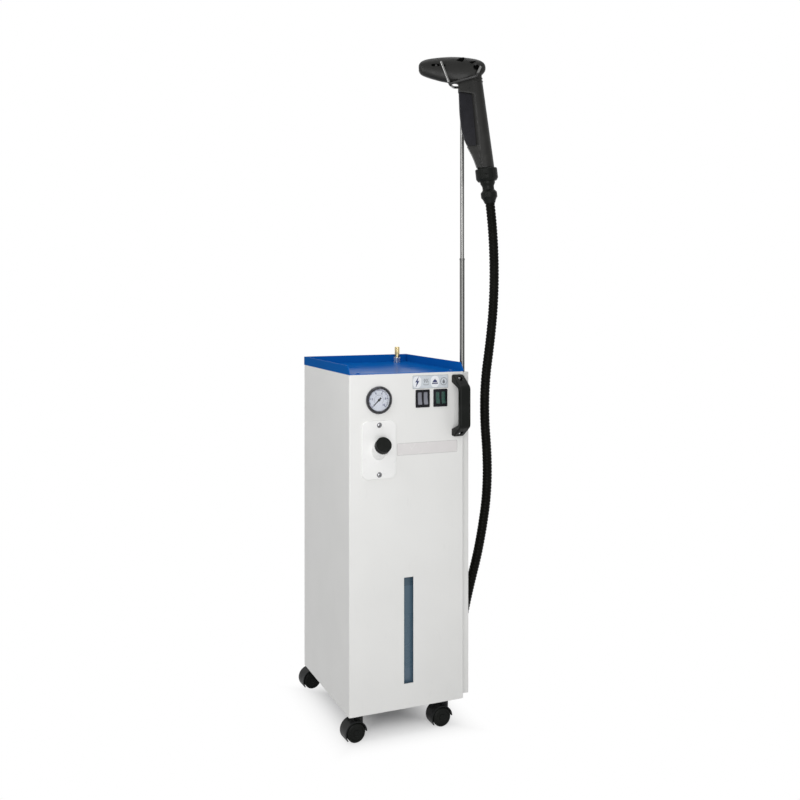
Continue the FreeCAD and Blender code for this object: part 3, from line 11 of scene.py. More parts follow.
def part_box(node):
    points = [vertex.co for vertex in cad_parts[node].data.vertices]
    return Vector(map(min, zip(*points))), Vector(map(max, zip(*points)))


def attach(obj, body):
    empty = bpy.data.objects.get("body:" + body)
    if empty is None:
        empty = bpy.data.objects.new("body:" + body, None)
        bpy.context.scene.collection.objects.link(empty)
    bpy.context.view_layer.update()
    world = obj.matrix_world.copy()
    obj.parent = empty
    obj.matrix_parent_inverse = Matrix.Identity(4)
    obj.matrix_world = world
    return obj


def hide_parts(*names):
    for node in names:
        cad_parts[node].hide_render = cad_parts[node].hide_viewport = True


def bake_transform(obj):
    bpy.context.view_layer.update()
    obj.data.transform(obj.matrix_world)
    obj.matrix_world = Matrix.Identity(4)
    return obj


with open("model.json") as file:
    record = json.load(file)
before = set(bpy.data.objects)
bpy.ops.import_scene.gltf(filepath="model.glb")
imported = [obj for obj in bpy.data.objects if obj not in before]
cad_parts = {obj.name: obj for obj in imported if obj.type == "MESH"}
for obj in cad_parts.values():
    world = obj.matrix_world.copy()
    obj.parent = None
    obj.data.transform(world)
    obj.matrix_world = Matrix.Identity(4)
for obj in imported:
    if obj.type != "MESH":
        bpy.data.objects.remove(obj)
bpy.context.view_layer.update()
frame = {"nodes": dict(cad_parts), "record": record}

# Looks of the jewelry steam cleaner. Lengths in the helpers below are millimetres from the
# cabinet's front left bottom corner (x right, y rear, z up); at() turns them into the row frame.
NODES = frame["nodes"]
MM = 0.001
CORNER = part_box("cabinet_shell")[0]
random.seed(7)


def at(x, y, z):
    return CORNER + Vector((x, y, z)) * MM


# ---- sizes that repeat the CAD's ----
GAUGE = (69.3, 693.0)             # x and z of the gauge's middle
DIAL_FRONT = -0.3                 # y of the dial's face
SWITCH_Z = 692.0
SWITCH_X = (175.2, 219.3)
ROCKER_OFFSET = 7.2
ROCKER_PIVOT_Y = 2.6
ROCKER_THROW = 14.0
FILLER_X = 69.3
FILLER_SCREW_Z = (528.0, 638.0)
FILLER_PLATE = 3.5
HANDLE_X = 261.5
HANDLE_SCREW_Z = (611.6, 735.0)
HANDLE_SEAT = 8.0
TRAY_FLOOR = 751.5
ROD_X, ROD_Y = 289.0, 29.0
GUN_TURN = math.radians(-22.62)   # the gun's plane, turned about the rod
GUN_PLANE = -25.0                 # its middle plane, in front of the rod
HOSE_RADIUS = 11.0


def on_gun(along, depth, height):
    """A point given along the gun, behind the rod and above the cabinet's bottom."""
    x = ROD_X + along * math.cos(GUN_TURN) - depth * math.sin(GUN_TURN)
    y = ROD_Y + along * math.sin(GUN_TURN) + depth * math.cos(GUN_TURN)
    return at(x, y, height)


# ---- camera ----

def make_camera():
    data = bpy.data.cameras.new("camera")
    data.lens = 43.59
    data.sensor_width = 36.0
    data.shift_y = -0.1346
    data.clip_end = 50.0
    camera = bpy.data.objects.new("camera", data)
    camera.location = at(-711.9, -1997.1, 931.5)
    camera.rotation_euler = (math.radians(90), 0, GUN_TURN)
    bpy.context.scene.collection.objects.link(camera)
    bpy.context.scene.camera = camera


# ---- materials ----

class Paint:
    """A Principled material with procedural detail in object space."""

    def __init__(self, name, colour, roughness, metallic=0.0):
        self.material = bpy.data.materials.new(name)
        self.material.use_nodes = True
        self.tree = self.material.node_tree
        self.shader = self.tree.nodes["Principled BSDF"]
        self.colour = colour
        self.roughness = roughness
        self.tint = None
        self.height = None
        self.put("Base Color", (*colour, 1.0))
        self.put("Roughness", roughness)
        self.put("Metallic", metallic)
        self.place = self.node("ShaderNodeTexCoord").outputs["Object"]

    def node(self, kind, **settings):
        made = self.tree.nodes.new(kind)
        for key, value in settings.items():
            setattr(made, key, value)
        return made

    def put(self, socket, value):
        self.shader.inputs[socket].default_value = value
        return self

    def link(self, source, target):
        self.tree.links.new(source, target)

    def noise(self, size, detail=3.0, stretch=(1.0, 1.0, 1.0)):
        """Noise from 0 to 1 whose features are about size millimetres."""
        mapping = self.node("ShaderNodeMapping")
        mapping.inputs["Scale"].default_value = [s / (size * MM) for s in stretch]
        self.link(self.place, mapping.inputs["Vector"])
        noise = self.node("ShaderNodeTexNoise")
        noise.inputs["Scale"].default_value = 1.0
        noise.inputs["Detail"].default_value = detail
        self.link(mapping.outputs["Vector"], noise.inputs["Vector"])
        return noise.outputs["Fac"]

    def ranged(self, field, low, high, start=0.3, end=0.7):
        """The field stretched so that start gives low and end gives high."""
        made = self.node("ShaderNodeMapRange")
        for socket, value in (("From Min", start), ("From Max", end),
                              ("To Min", low), ("To Max", high)):
            made.inputs[socket].default_value = value
        self.link(field, made.inputs["Value"])
        return made.outputs["Result"]

    def height_field(self, low, high, axis="Z"):
        """0 at low and 1 at high, in metres along an axis of the row frame."""
        parts = self.node("ShaderNodeSeparateXYZ")
        self.link(self.place, parts.inputs[0])
        return self.ranged(parts.outputs[axis], 0.0, 1.0, low, high)

    def side_of(self, point, direction, width):
        """0 behind a plane through the point and 1 in front of it, over a width in metres."""
        made = self.node("ShaderNodeVectorMath", operation="DOT_PRODUCT")
        self.link(self.place, made.inputs[0])
        made.inputs[1].default_value = direction
        middle = direction.dot(point)
        return self.ranged(made.outputs["Value"], 0.0, 1.0, middle - width / 2, middle + width / 2)

    def blend_colour(self, field, other):
        """Mix the colour so far with another one where the field is 1."""
        mix = self.node("ShaderNodeMix", data_type="RGBA")
        source = self.tint
        if source is None:
            mix.inputs["A"].default_value = (*self.colour, 1.0)
        else:
            self.link(source, mix.inputs["A"])
        mix.inputs["B"].default_value = (*other, 1.0)
        self.link(field, mix.inputs["Factor"])
        self.tint = mix.outputs["Result"]
        self.link(self.tint, self.shader.inputs["Base Color"])
        return self

    def vary_rough(self, field, spread):
        self.link(self.ranged(field, self.roughness - spread, self.roughness + spread),
                  self.shader.inputs["Roughness"])
        return self

    def bump(self, field, depth):
        """Raise the surface by depth millimetres where the field is 1."""
        made = self.node("ShaderNodeBump")
        made.inputs["Strength"].default_value = 1.0
        made.inputs["Distance"].default_value = depth * MM
        self.link(field, made.inputs["Height"])
        if self.height is not None:
            self.link(self.height, made.inputs["Normal"])
        self.height = made.outputs["Normal"]
        self.link(self.height, self.shader.inputs["Normal"])
        return self


def enamel(name, colour, worn, roughness, coat=0.0, shine=0.5):
    """Powder coat: slight orange peel, faint handling marks."""
    paint = Paint(name, colour, roughness).put("Specular IOR Level", shine)
    paint.put("Coat Weight", coat).put("Coat Roughness", 0.06)
    paint.blend_colour(paint.ranged(paint.noise(170.0, 2.0), 0.0, 0.5), worn)
    paint.blend_colour(paint.ranged(paint.noise(9.0, 6.0, (1, 1, 0.25)), 0.0, 0.5, 0.62, 0.8), worn)
    paint.vary_rough(paint.noise(60.0, 4.0), 0.05)
    paint.bump(paint.noise(1.4, 1.0), 0.012)
    return paint.material


def metal(name, colour, roughness, streak, grain=0.02):
    """Bright metal with fine drawing or turning lines along the given stretch."""
    paint = Paint(name, colour, roughness, 1.0)
    lines = paint.noise(1.2, 2.0, streak)
    paint.vary_rough(lines, roughness * 0.45)
    paint.blend_colour(paint.ranged(paint.noise(24.0, 4.0), 0.0, 0.35), [c * 0.8 for c in colour])
    paint.bump(lines, grain * 0.1)
    return paint.material


def moulded(name, colour, worn, roughness, grain=0.6, depth=0.03, shine=0.5):
    """Moulded plastic: fine spark grain and slightly shinier, paler handled patches."""
    paint = Paint(name, colour, roughness).put("Specular IOR Level", shine)
    paint.blend_colour(paint.ranged(paint.noise(26.0, 5.0), 0.0, 0.6, 0.5, 0.75), worn)
    paint.vary_rough(paint.noise(14.0, 4.0), 0.08)
    paint.bump(paint.noise(grain, 2.0), depth)
    return paint.material


def clear_glass():
    paint = Paint("gauge_glass", (0.97, 0.985, 0.99), 0.03)
    paint.put("Transmission Weight", 1.0).put("IOR", 1.18)
    paint.vary_rough(paint.noise(20.0, 3.0), 0.02)
    return paint.material


def tank_plastic():
    """Blue grey tank wall: darker above the water line, with a paler foot, and a band of painted
    shade along the top of the window.
    """
    paint = Paint("tank_plastic", (0.066, 0.118, 0.165), 0.28)
    foot = CORNER.z + 86.0 * MM
    low = paint.height_field(foot, foot - 1.5 * MM)
    paint.blend_colour(low, (0.085, 0.135, 0.19))
    # Painted shade: darker from here up to the window's top edge, where the front sheet shades the
    # tank.
    top = CORNER.z + 272.0 * MM
    paint.blend_colour(paint.height_field(top - 1.5 * MM, top), (0.045, 0.085, 0.12))
    paint.blend_colour(paint.ranged(paint.noise(40.0, 3.0, (1, 1, 0.3)), 0.0, 0.4),
                       (0.078, 0.138, 0.19))
    paint.vary_rough(paint.noise(30.0, 3.0), 0.06)
    paint.bump(paint.noise(5.0, 1.0), 0.03)
    return paint.material


def lens_green():
    paint = Paint("rocker_green", (0.004, 0.03, 0.024), 0.16)
    paint.put("Coat Weight", 0.2).put("Subsurface Weight", 0.15)
    paint.put("Subsurface Radius", (0.4 * MM, 1.2 * MM, 1.0 * MM))
    paint.blend_colour(paint.ranged(paint.noise(5.0, 3.0), 0.0, 0.6), (0.008, 0.06, 0.045))
    paint.bump(paint.noise(2.0, 1.0), 0.02)
    return paint.material


def fork_chrome():
    """The cradle: bright prongs, and a bar and arm below them in black."""
    paint = Paint("fork_chrome", (0.21, 0.21, 0.205), 0.2, 1.0)
    along = on_gun(1000, 0, 0) - on_gun(0, 0, 0)
    low = paint.side_of(on_gun(-22, GUN_PLANE, 1414.5), 0.315 * along - Vector((0, 0, 1)), 0.001)
    paint.blend_colour(low, (0.012, 0.012, 0.012))
    paint.link(paint.ranged(low, 1.0, 0.0, 0.0, 1.0), paint.shader.inputs["Metallic"])
    paint.vary_rough(paint.noise(1.2, 2.0, (3, 3, 0.3)), 0.08)
    return paint.material


def painted_screw():
    """Bright screws in the rear panel, and the same screws painted over in the tray."""
    paint = Paint("painted_screw", (0.78, 0.79, 0.81), 0.2).put("Specular IOR Level", 0.3)
    painted = paint.height_field(CORNER.z + 747.0 * MM, CORNER.z + 748.0 * MM)
    paint.blend_colour(painted, (0.004, 0.12, 0.45))
    bare = paint.ranged(painted, 1.0, 0.0, 0.0, 1.0)
    paint.link(bare, paint.shader.inputs["Metallic"])
    paint.bump(paint.noise(1.2, 1.0), 0.01)
    return paint.material


def make_materials():
    white = (0.83, 0.83, 0.815)
    return {
        "white_enamel": enamel("white_enamel", white, (0.77, 0.77, 0.755), 0.34, 0.15),
        "grey_sheet": enamel("grey_sheet", (0.5, 0.51, 0.52), (0.42, 0.43, 0.44), 0.42),
        "blue_enamel": enamel("blue_enamel", (0.004, 0.12, 0.45), (0.004, 0.11, 0.41), 0.14, 0.0,
                              0.001),
        "painted_screw": painted_screw(),
        "fork_chrome": fork_chrome(),
        "filler_screw": metal("filler_screw", (0.26, 0.26, 0.27), 0.16, (1, 1, 1)),
        "bright_screw": metal("bright_screw", (0.78, 0.79, 0.81), 0.14, (1, 1, 1)),
        "brass": metal("brass", (0.62, 0.5, 0.26), 0.26, (0.2, 0.2, 3)),
        "stainless": metal("stainless", (0.66, 0.67, 0.68), 0.28, (4, 4, 0.3)),
        "chrome_rod": metal("chrome_rod", (0.19, 0.19, 0.185), 0.18, (3, 3, 0.05), 0.002),
        "dull_rod": metal("dull_rod", (0.13, 0.13, 0.125), 0.2, (3, 3, 0.05), 0.002),
        "dark_chrome": metal("dark_chrome", (0.06, 0.06, 0.065), 0.14, (1, 1, 1)),
        "dial_white": enamel("dial_white", (0.56, 0.57, 0.63), (0.52, 0.53, 0.59), 0.5),
        "needle_black": moulded("needle_black", (0.012, 0.012, 0.014), (0.02, 0.02, 0.022), 0.4),
        "glass": clear_glass(),
        "black_plastic": moulded("black_plastic", (0.007, 0.008, 0.007), (0.014, 0.015, 0.014), 0.4,
                                 shine=0.1),
        "black_screw": metal("black_screw", (0.05, 0.05, 0.05), 0.3, (1, 1, 1)),
        "switch_black": moulded("switch_black", (0.009, 0.009, 0.012), (0.015, 0.015, 0.02), 0.3,
                                shine=0.14),
        "rocker_grey": moulded("rocker_grey", (0.2, 0.205, 0.24), (0.26, 0.265, 0.3),
                               0.2, 1.0, 0.01),
        "rocker_green": lens_green(),
        "white_plastic": moulded("white_plastic", (0.88, 0.88, 0.87), (0.84, 0.84, 0.83), 0.34),
        "tank_plastic": tank_plastic(),
        "rubber": moulded("rubber", (0.02, 0.02, 0.02), (0.035, 0.035, 0.034), 0.65),
        "hose_black": moulded("hose_black", (0.003, 0.003, 0.002), (0.008, 0.008, 0.006), 0.38, 2.0,
                              0.05, 0.05),
        "caster_grey": moulded("caster_grey", (0.011, 0.012, 0.012), (0.02, 0.02, 0.02), 0.42,
                               shine=0.13),
        "gun_plastic": moulded("gun_plastic", (0.011, 0.011, 0.01), (0.02, 0.02, 0.018), 0.4, 0.8,
                               shine=0.24),
        # Near-black painted shade for the floors of the gun's recesses.
        "recess_shade_black": moulded("recess_shade_black", (0.001, 0.001, 0.001), (0.002, 0.002, 0.002), 0.6,
                                shine=0.02),
        "ink_blue": moulded("ink_blue", (0.006, 0.012, 0.09), (0.012, 0.02, 0.12), 0.4),
        "ink_grey": moulded("ink_grey", (0.15, 0.16, 0.18), (0.2, 0.21, 0.23), 0.4),
        "ink_pale": moulded("ink_pale", (0.36, 0.35, 0.35), (0.42, 0.41, 0.41), 0.4),
        "label_grey": moulded("label_grey", (0.6, 0.64, 0.68), (0.56, 0.6, 0.64), 0.3),
        "label_white": moulded("label_white", (0.82, 0.84, 0.87), (0.78, 0.8, 0.84), 0.3),
        "label_clear": moulded("label_clear", (0.74, 0.72, 0.715), (0.7, 0.68, 0.675), 0.22),
        # Paler green on the rocker ribs: painted highlight along the ribs.
        "rib_highlight_green": moulded("rib_highlight_green", (0.015, 0.09, 0.065), (0.03, 0.14, 0.1), 0.18),
    }


# ---- meshes ----

def frame_of(axis):
    """Two directions at right angles to an axis and to each other."""
    axis = axis.normalized()
    side = axis.cross(Vector((0, 0, 1)))
    if side.length < 0.01:
        side = axis.cross(Vector((0, 1, 0)))
    side.normalize()
    return side, axis.cross(side)


class Form:
    """Points and faces of one piece, in the row frame."""

    def __init__(self):
        self.points = []
        self.faces = []

    def add(self, points, faces):
        base = len(self.points)
        self.points += [Vector(p) for p in points]
        self.faces += [[base + i for i in face] for face in faces]

    def prism(self, outline, sweep):
        """A flat outline, given as points of the row frame, drawn out along a vector."""
        count = len(outline)
        points = list(outline) + [p + sweep for p in outline]
        sides = [[i, (i + 1) % count, count + (i + 1) % count, count + i] for i in range(count)]
        self.add(points, [list(range(count))[::-1], list(range(count, 2 * count))] + sides)

    def front(self, outline, y, thickness):
        """A thin plate on a face that looks to the front: outline in x and z, y of its rear."""
        self.prism([at(x, y, z) for x, z in outline], Vector((0, -thickness * MM, 0)))

    def lathe(self, profile, origin, axis, steps=48):
        """(radius, height) pairs in millimetres turned about an axis; a closed ring of points."""
        side, across = frame_of(axis)
        axis = axis.normalized()
        points, faces = [], []
        count = len(profile)
        for i in range(steps):
            turn = 2 * math.pi * i / steps
            out = side * math.cos(turn) + across * math.sin(turn)
            points += [origin + (out * r + axis * h) * MM for r, h in profile]
        for i in range(steps):
            j = (i + 1) % steps
            for k in range(count):
                n = (k + 1) % count
                faces.append([i * count + k, i * count + n, j * count + n, j * count + k])
        self.add(points, faces)

    def object(self, name, material, body, slot, smooth=30.0):
        mesh = bpy.data.meshes.new(name)
        mesh.from_pydata(self.points, [], self.faces)
        mesh.validate()
        made = bpy.data.objects.new(name, mesh)
        bpy.context.scene.collection.objects.link(made)
        mesh.materials.append(material)
        finish_mesh(made, smooth)
        if body:
            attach(made, body)
        return made


def finish_mesh(made, smooth):
    """Weld, outward faces, and smooth shading up to an angle in degrees."""
    work = bmesh.new()
    work.from_mesh(made.data)
    bmesh.ops.remove_doubles(work, verts=work.verts, dist=1e-6)
    bmesh.ops.dissolve_degenerate(work, edges=work.edges, dist=1e-7)
    bmesh.ops.recalc_face_normals(work, faces=work.faces)
    for face in work.faces:
        face.smooth = smooth > 0
    for edge in work.edges:
        if len(edge.link_faces) == 2:
            edge.smooth = edge.calc_face_angle(0.0) < math.radians(smooth)
    work.to_mesh(made.data)
    work.free()


def arc(cx, cz, radius, start, end, steps):
    """Points on a circle in a front plane, angles in degrees from the right, upwards."""
    return [(cx + radius * math.cos(math.radians(start + (end - start) * i / steps)),
             cz + radius * math.sin(math.radians(start + (end - start) * i / steps)))
            for i in range(steps + 1)]


def rounded(x0, x1, z0, z1, radius, steps=6):
    corners = [(x1 - radius, z0 + radius, -90), (x1 - radius, z1 - radius, 0),
               (x0 + radius, z1 - radius, 90), (x0 + radius, z0 + radius, 180)]
    return [p for x, z, start in corners for p in arc(x, z, radius, start, start + 90, steps)]


# Nodes whose look isn't the one of their slot's name.
OWN_LOOKS = {"cabinet_screws": "painted_screw", "rod_lower_tube": "dull_rod",
             "gun_fork": "fork_chrome"}


def dress_nodes(looks):
    """Give every CAD node its slot's material, and smooth shading that keeps its edges."""
    for part in frame["record"]["subparts"]:
        node = NODES[part["node"]]
        node.data.materials.clear()
        node.data.materials.append(looks[OWN_LOOKS.get(part["node"], part["material_slot"])])
        for polygon in node.data.polygons:
            polygon.use_smooth = True
        weld = node.modifiers.new("weld", "WELD")
        weld.merge_threshold = 2e-6
        split = node.modifiers.new("edges", "EDGE_SPLIT")
        split.split_angle = math.radians(28)


# ---- hose ----

# From the gun's gland down past the cabinet's right side, under it, and up into the elbow.
HOSE_ROUTE = [
    (337.16, -18.15, 1136.44),
    (343.58, -20.83, 1076.95),
    (346.0, -24.0, 960.0),
    (342.0, -19.0, 850.0),
    (320.0, -15.0, 690.0),
    (348.5, 8.0, 500.0),
    (336.5, 28.0, 346.0),
    (317.5, 57.0, 220.0),
    (307.0, 76.0, 124.0),
    (305.0, 78.0, 25.0),
    (305.0, 148.0, -46.0),
    (305.0, 245.0, -46.0),
    (305.0, 315.0, 30.0),
    (305.0, 315.0, 128.0),
]
HOSE_PITCH = 7.7                  # of the spiral rib
HOSE_GROOVE = 1.1


def hose_line():
    """Points along the hose's middle, read from the NURBS spline of its route."""
    data = bpy.data.curves.new("hose_route", "CURVE")
    data.dimensions = "3D"
    data.resolution_u = 24
    spline = data.splines.new("NURBS")
    spline.points.add(len(HOSE_ROUTE) - 1)
    for point, place in zip(spline.points, HOSE_ROUTE):
        point.co = (*at(*place), 1.0)
    spline.order_u = 3
    spline.use_endpoint_u = True
    holder = bpy.data.objects.new("hose_route", data)
    mesh = bpy.data.meshes.new_from_object(holder)
    points = [v.co.copy() for v in mesh.vertices]
    bpy.data.objects.remove(holder)
    return points


def evenly(points, step):
    """Points a fixed step apart along a line of points."""
    made = [points[0].copy()]
    left = step
    for here, there in zip(points, points[1:]):
        run = (there - here).length
        gone = 0.0
        while run - gone >= left:
            gone += left
            made.append(here.lerp(there, gone / run))
            left = step
        left -= run - gone
    return made


def carried_frames(points):
    """A side direction at each point that doesn't twist about the line."""
    tangents = [(b - a).normalized() for a, b in zip(points, points[1:])]
    tangents.append(tangents[-1].copy())
    side, _ = frame_of(tangents[0])
    frames = []
    for before, tangent in zip([tangents[0]] + tangents, tangents):
        side = before.rotation_difference(tangent) @ side
        side = (side - tangent * side.dot(tangent)).normalized()
        frames.append((side, tangent.cross(side)))
    return frames


def make_hose(material):
    """A tube with a spiral rib, between the gun's gland and the elbow."""
    line = hose_line()
    rings_per_turn = 8
    steps = 24
    step = HOSE_PITCH * MM / rings_per_turn
    points = evenly(line, step)
    form = Form()
    rings = []
    for n, (place, (side, across)) in enumerate(zip(points, carried_frames(points))):
        ring = []
        for i in range(steps):
            turn = 2 * math.pi * i / steps
            phase = 2 * math.pi * (n / rings_per_turn + i / steps)
            dip = (0.5 - 0.5 * math.cos(phase)) ** 2
            radius = (HOSE_RADIUS - HOSE_GROOVE * dip) * MM
            ring.append(place + (side * math.cos(turn) + across * math.sin(turn)) * radius)
        rings.append(ring)
    form.points = [p for ring in rings for p in ring]
    last = len(rings) - 1
    for n in range(last):
        for i in range(steps):
            j = (i + 1) % steps
            form.faces.append([n * steps + i, n * steps + j,
                               (n + 1) * steps + j, (n + 1) * steps + i])
    form.faces.append(list(range(steps))[::-1])
    form.faces.append([last * steps + i for i in range(steps)])
    hose = form.object("hose", material, None, "hose_black", 70.0)
    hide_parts("steam_hose")
    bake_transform(hose)
    return hose


# ---- pressure gauge ----

GAUGE_START = 225.0               # degrees of the zero mark, from the right, upwards
GAUGE_SWEEP = 270.0
GAUGE_TOP_VALUE = 10
MARK_DEPTH = 0.06


def dial_angle(share):
    return math.radians(GAUGE_START - GAUGE_SWEEP * share)


def dial_tick(form, share, inner, outer, width):
    turn = dial_angle(share)
    out = (math.cos(turn), math.sin(turn))
    side = (-out[1] * width / 2, out[0] * width / 2)
    outline = [(GAUGE[0] + out[0] * r + side[0] * s, GAUGE[1] + out[1] * r + side[1] * s)
               for r, s in ((inner, -1), (outer, -1), (outer, 1), (inner, 1))]
    form.front(outline, DIAL_FRONT, MARK_DEPTH)


def dial_arc(form, inner, outer):
    end = GAUGE_START - GAUGE_SWEEP
    outline = arc(*GAUGE, outer, GAUGE_START, end, 72) + arc(*GAUGE, inner, end, GAUGE_START, 72)
    form.front(outline, DIAL_FRONT, MARK_DEPTH)


def write_number(form, number, x, z, y, size):
    """A number in the built-in typeface, facing the front."""
    curve = bpy.data.curves.new("number", "FONT")
    curve.body = str(number)
    curve.size = size * MM
    curve.align_x = "CENTER"
    curve.align_y = "CENTER"
    curve.extrude = MARK_DEPTH / 2 * MM
    curve.offset = 0.16 * MM
    holder = bpy.data.objects.new("number", curve)
    mesh = bpy.data.meshes.new_from_object(holder)
    place = at(x, y - MARK_DEPTH / 2, z)
    form.add([place + Vector((v.co.x, -v.co.z, v.co.y)) for v in mesh.vertices],
             [list(p.vertices) for p in mesh.polygons])
    bpy.data.objects.remove(holder)


def make_gauge(looks):
    marks = Form()
    dial_arc(marks, 22.3, 22.7)
    for i in range(51):
        share = i / 50
        inner, width = (18.8, 1.5) if i % 10 == 0 else (20.0, 1.0) if i % 5 == 0 else (21.0, 0.6)
        dial_tick(marks, share, inner, 22.5, width)
    for i in range(6):
        turn = dial_angle(i / 5)
        write_number(marks, i * GAUGE_TOP_VALUE // 5, GAUGE[0] + 15.8 * math.cos(turn),
                     GAUGE[1] + 15.8 * math.sin(turn), DIAL_FRONT, 6.2)
    marks.object("gauge_marks", looks["ink_blue"], "cabinet", "needle_black", 0)
    inner = Form()
    dial_arc(inner, 11.0, 11.3)
    for i in range(31):
        dial_tick(inner, i / 30, 9.4 if i % 5 == 0 else 10.1, 11.3, 0.5)
    inner.object("gauge_inner_scale", looks["ink_grey"], "cabinet", "needle_black", 0)


# ---- labels on the front ----

LABEL = (151.0, 239.0, 714.5, 744.0)
LABEL_THICKNESS = 0.25
NOTICE = (113.0, 262.0, 567.0, 594.0)


def outline_frame(form, x0, x1, z0, z1, radius, width, y, thickness):
    """A thin line round a label, as a band between two rounded rectangles."""
    outer = rounded(x0, x1, z0, z1, radius)
    inner = rounded(x0 + width, x1 - width, z0 + width, z1 - width, max(radius - width, 0.1))
    count = len(outer)
    for i in range(count):
        j = (i + 1) % count
        form.front([outer[i], outer[j], inner[j], inner[i]], y, thickness)


def bolt(cx, cz, size):
    shape = [(0.3, 1.0), (-0.38, -0.04), (-0.04, 0.0), (-0.32, -1.0), (0.42, 0.24), (0.08, 0.2)]
    return [(cx + x * size, cz + z * size) for x, z in shape]


def band(points, width):
    """An outline of the given width along a line of points in a front plane."""
    left, right = [], []
    for i, here in enumerate(points):
        before = points[max(i - 1, 0)]
        after = points[min(i + 1, len(points) - 1)]
        dx, dz = after[0] - before[0], after[1] - before[1]
        size = math.hypot(dx, dz)
        nx, nz = -dz / size * width / 2, dx / size * width / 2
        left.append((here[0] + nx, here[1] + nz))
        right.append((here[0] - nx, here[1] - nz))
    return left + right[::-1]


def rising_steam(form, cx, cz, y):
    """Three wavy lines over a flat dish."""
    for offset in (-4.0, 0.0, 4.0):
        wave = [(cx + offset + 1.1 * math.sin(t * 0.9), cz - 2.0 + t) for t in range(0, 10)]
        form.front(band(wave, 1.4), y, MARK_DEPTH)
    form.front(band([(cx - 6.5, cz - 4.0), (cx - 5.0, cz - 6.6), (cx + 5.0, cz - 6.6),
                     (cx + 6.5, cz - 4.0)], 1.0), y, MARK_DEPTH)


def small_boiler(form, cx, cz, y):
    """A domed vessel on a flat base."""
    dome = arc(cx, cz - 1.5, 5.6, 0, 180, 16)
    form.front(dome, y, MARK_DEPTH)
    form.front([(cx - 7.4, cz - 5.2), (cx + 7.4, cz - 5.2),
                (cx + 7.4, cz - 2.6), (cx - 7.4, cz - 2.6)], y, MARK_DEPTH)
    form.front([(cx - 1.1, cz + 3.5), (cx + 1.1, cz + 3.5),
                (cx + 1.1, cz + 6.0), (cx - 1.1, cz + 6.0)], y, MARK_DEPTH)


def ringed_drop(form, cx, cz, y):
    ring = arc(cx, cz, 8.2, 0, 360, 40)
    form.front(band(ring, 1.1), y, MARK_DEPTH)
    drop = arc(cx, cz - 1.6, 3.2, -205, 25, 14) + [(cx, cz + 5.6)]
    form.front(drop, y, MARK_DEPTH)


def make_labels(looks):
    x0, x1, z0, z1 = LABEL
    plate = Form()
    plate.front(rounded(x0, x1, z0, z1, 1.5), 0.0, LABEL_THICKNESS)
    plate.object("symbol_plate", looks["label_grey"], "cabinet", "dial_white", 0)
    top = -LABEL_THICKNESS
    middle = (z0 + z1) / 2
    quarter = (x1 - x0) / 4
    centres = [x0 + quarter * (i + 0.5) for i in range(4)]
    fields = Form()
    for cx in (centres[0], centres[2]):
        fields.front(rounded(cx - quarter / 2 + 0.8, cx + quarter / 2 - 0.8,
                             z0 + 1.6, z1 - 1.6, 9.5), top, MARK_DEPTH)
    fields.object("symbol_fields", looks["label_white"], "cabinet", "dial_white", 0)
    inked = top - MARK_DEPTH
    blue = Form()
    blue.front(bolt(centres[0], middle, 13.0), inked, MARK_DEPTH)
    small_boiler(blue, centres[2], middle, inked)
    blue.object("symbols_blue", looks["ink_blue"], "cabinet", "needle_black", 0)
    grey = Form()
    rising_steam(grey, centres[1], middle, top)
    ringed_drop(grey, centres[3], middle, top)
    outline_frame(grey, x0, x1, z0, z1, 1.5, 0.5, top, MARK_DEPTH)
    grey.object("symbols_grey", looks["ink_grey"], "cabinet", "needle_black", 0)
    x0, x1, z0, z1 = NOTICE
    notice = Form()
    notice.front(rounded(x0, x1, z0, z1, 2.5), 0.0, 0.15)
    notice.object("notice_plate", looks["label_clear"], "cabinet", "dial_white", 0)
    line = Form()
    outline_frame(line, x0, x1, z0, z1, 2.5, 0.5, -0.15, MARK_DEPTH)
    line.object("notice_outline", looks["ink_pale"], "cabinet", "needle_black", 0)


# ---- screws ----

def cross_recess(form, place, axis, size, depth=0.25):
    """A black cross on the middle of a screw's head: painted shade that stands for its recess."""
    side, across = frame_of(axis)
    arm = 0.24 * size
    corners = [(size, -arm), (size, arm), (arm, arm), (arm, size), (-arm, size), (-arm, arm),
               (-size, arm), (-size, -arm), (-arm, -arm), (-arm, -size), (arm, -size), (arm, -arm)]
    turn = random.uniform(0, math.pi / 2)
    c, s = math.cos(turn), math.sin(turn)
    outline = [place + (side * (a * c - b * s) + across * (a * s + b * c)) * MM for a, b in corners]
    form.prism(outline, axis.normalized() * depth * MM)


HEAD_RIM = 0.8                    # mm, the straight edge under a screw's dome
DOME_STEPS = 8


def dome_head(form, place, axis, radius, height):
    """A screw's round head, a dome on a low straight edge: place is under the head."""
    rise = height - HEAD_RIM
    ball = (radius ** 2 + rise ** 2) / (2 * rise)
    crown = []
    half = math.asin(radius / ball)
    for i in range(DOME_STEPS + 1):
        a = half * (1 - i / DOME_STEPS)
        crown.append((ball * math.sin(a), HEAD_RIM + rise - ball * (1 - math.cos(a))))
    form.lathe([(0.0, 0.0), (radius, 0.0)] + crown[:-1] + [(0.0, height)], place, axis, 40)


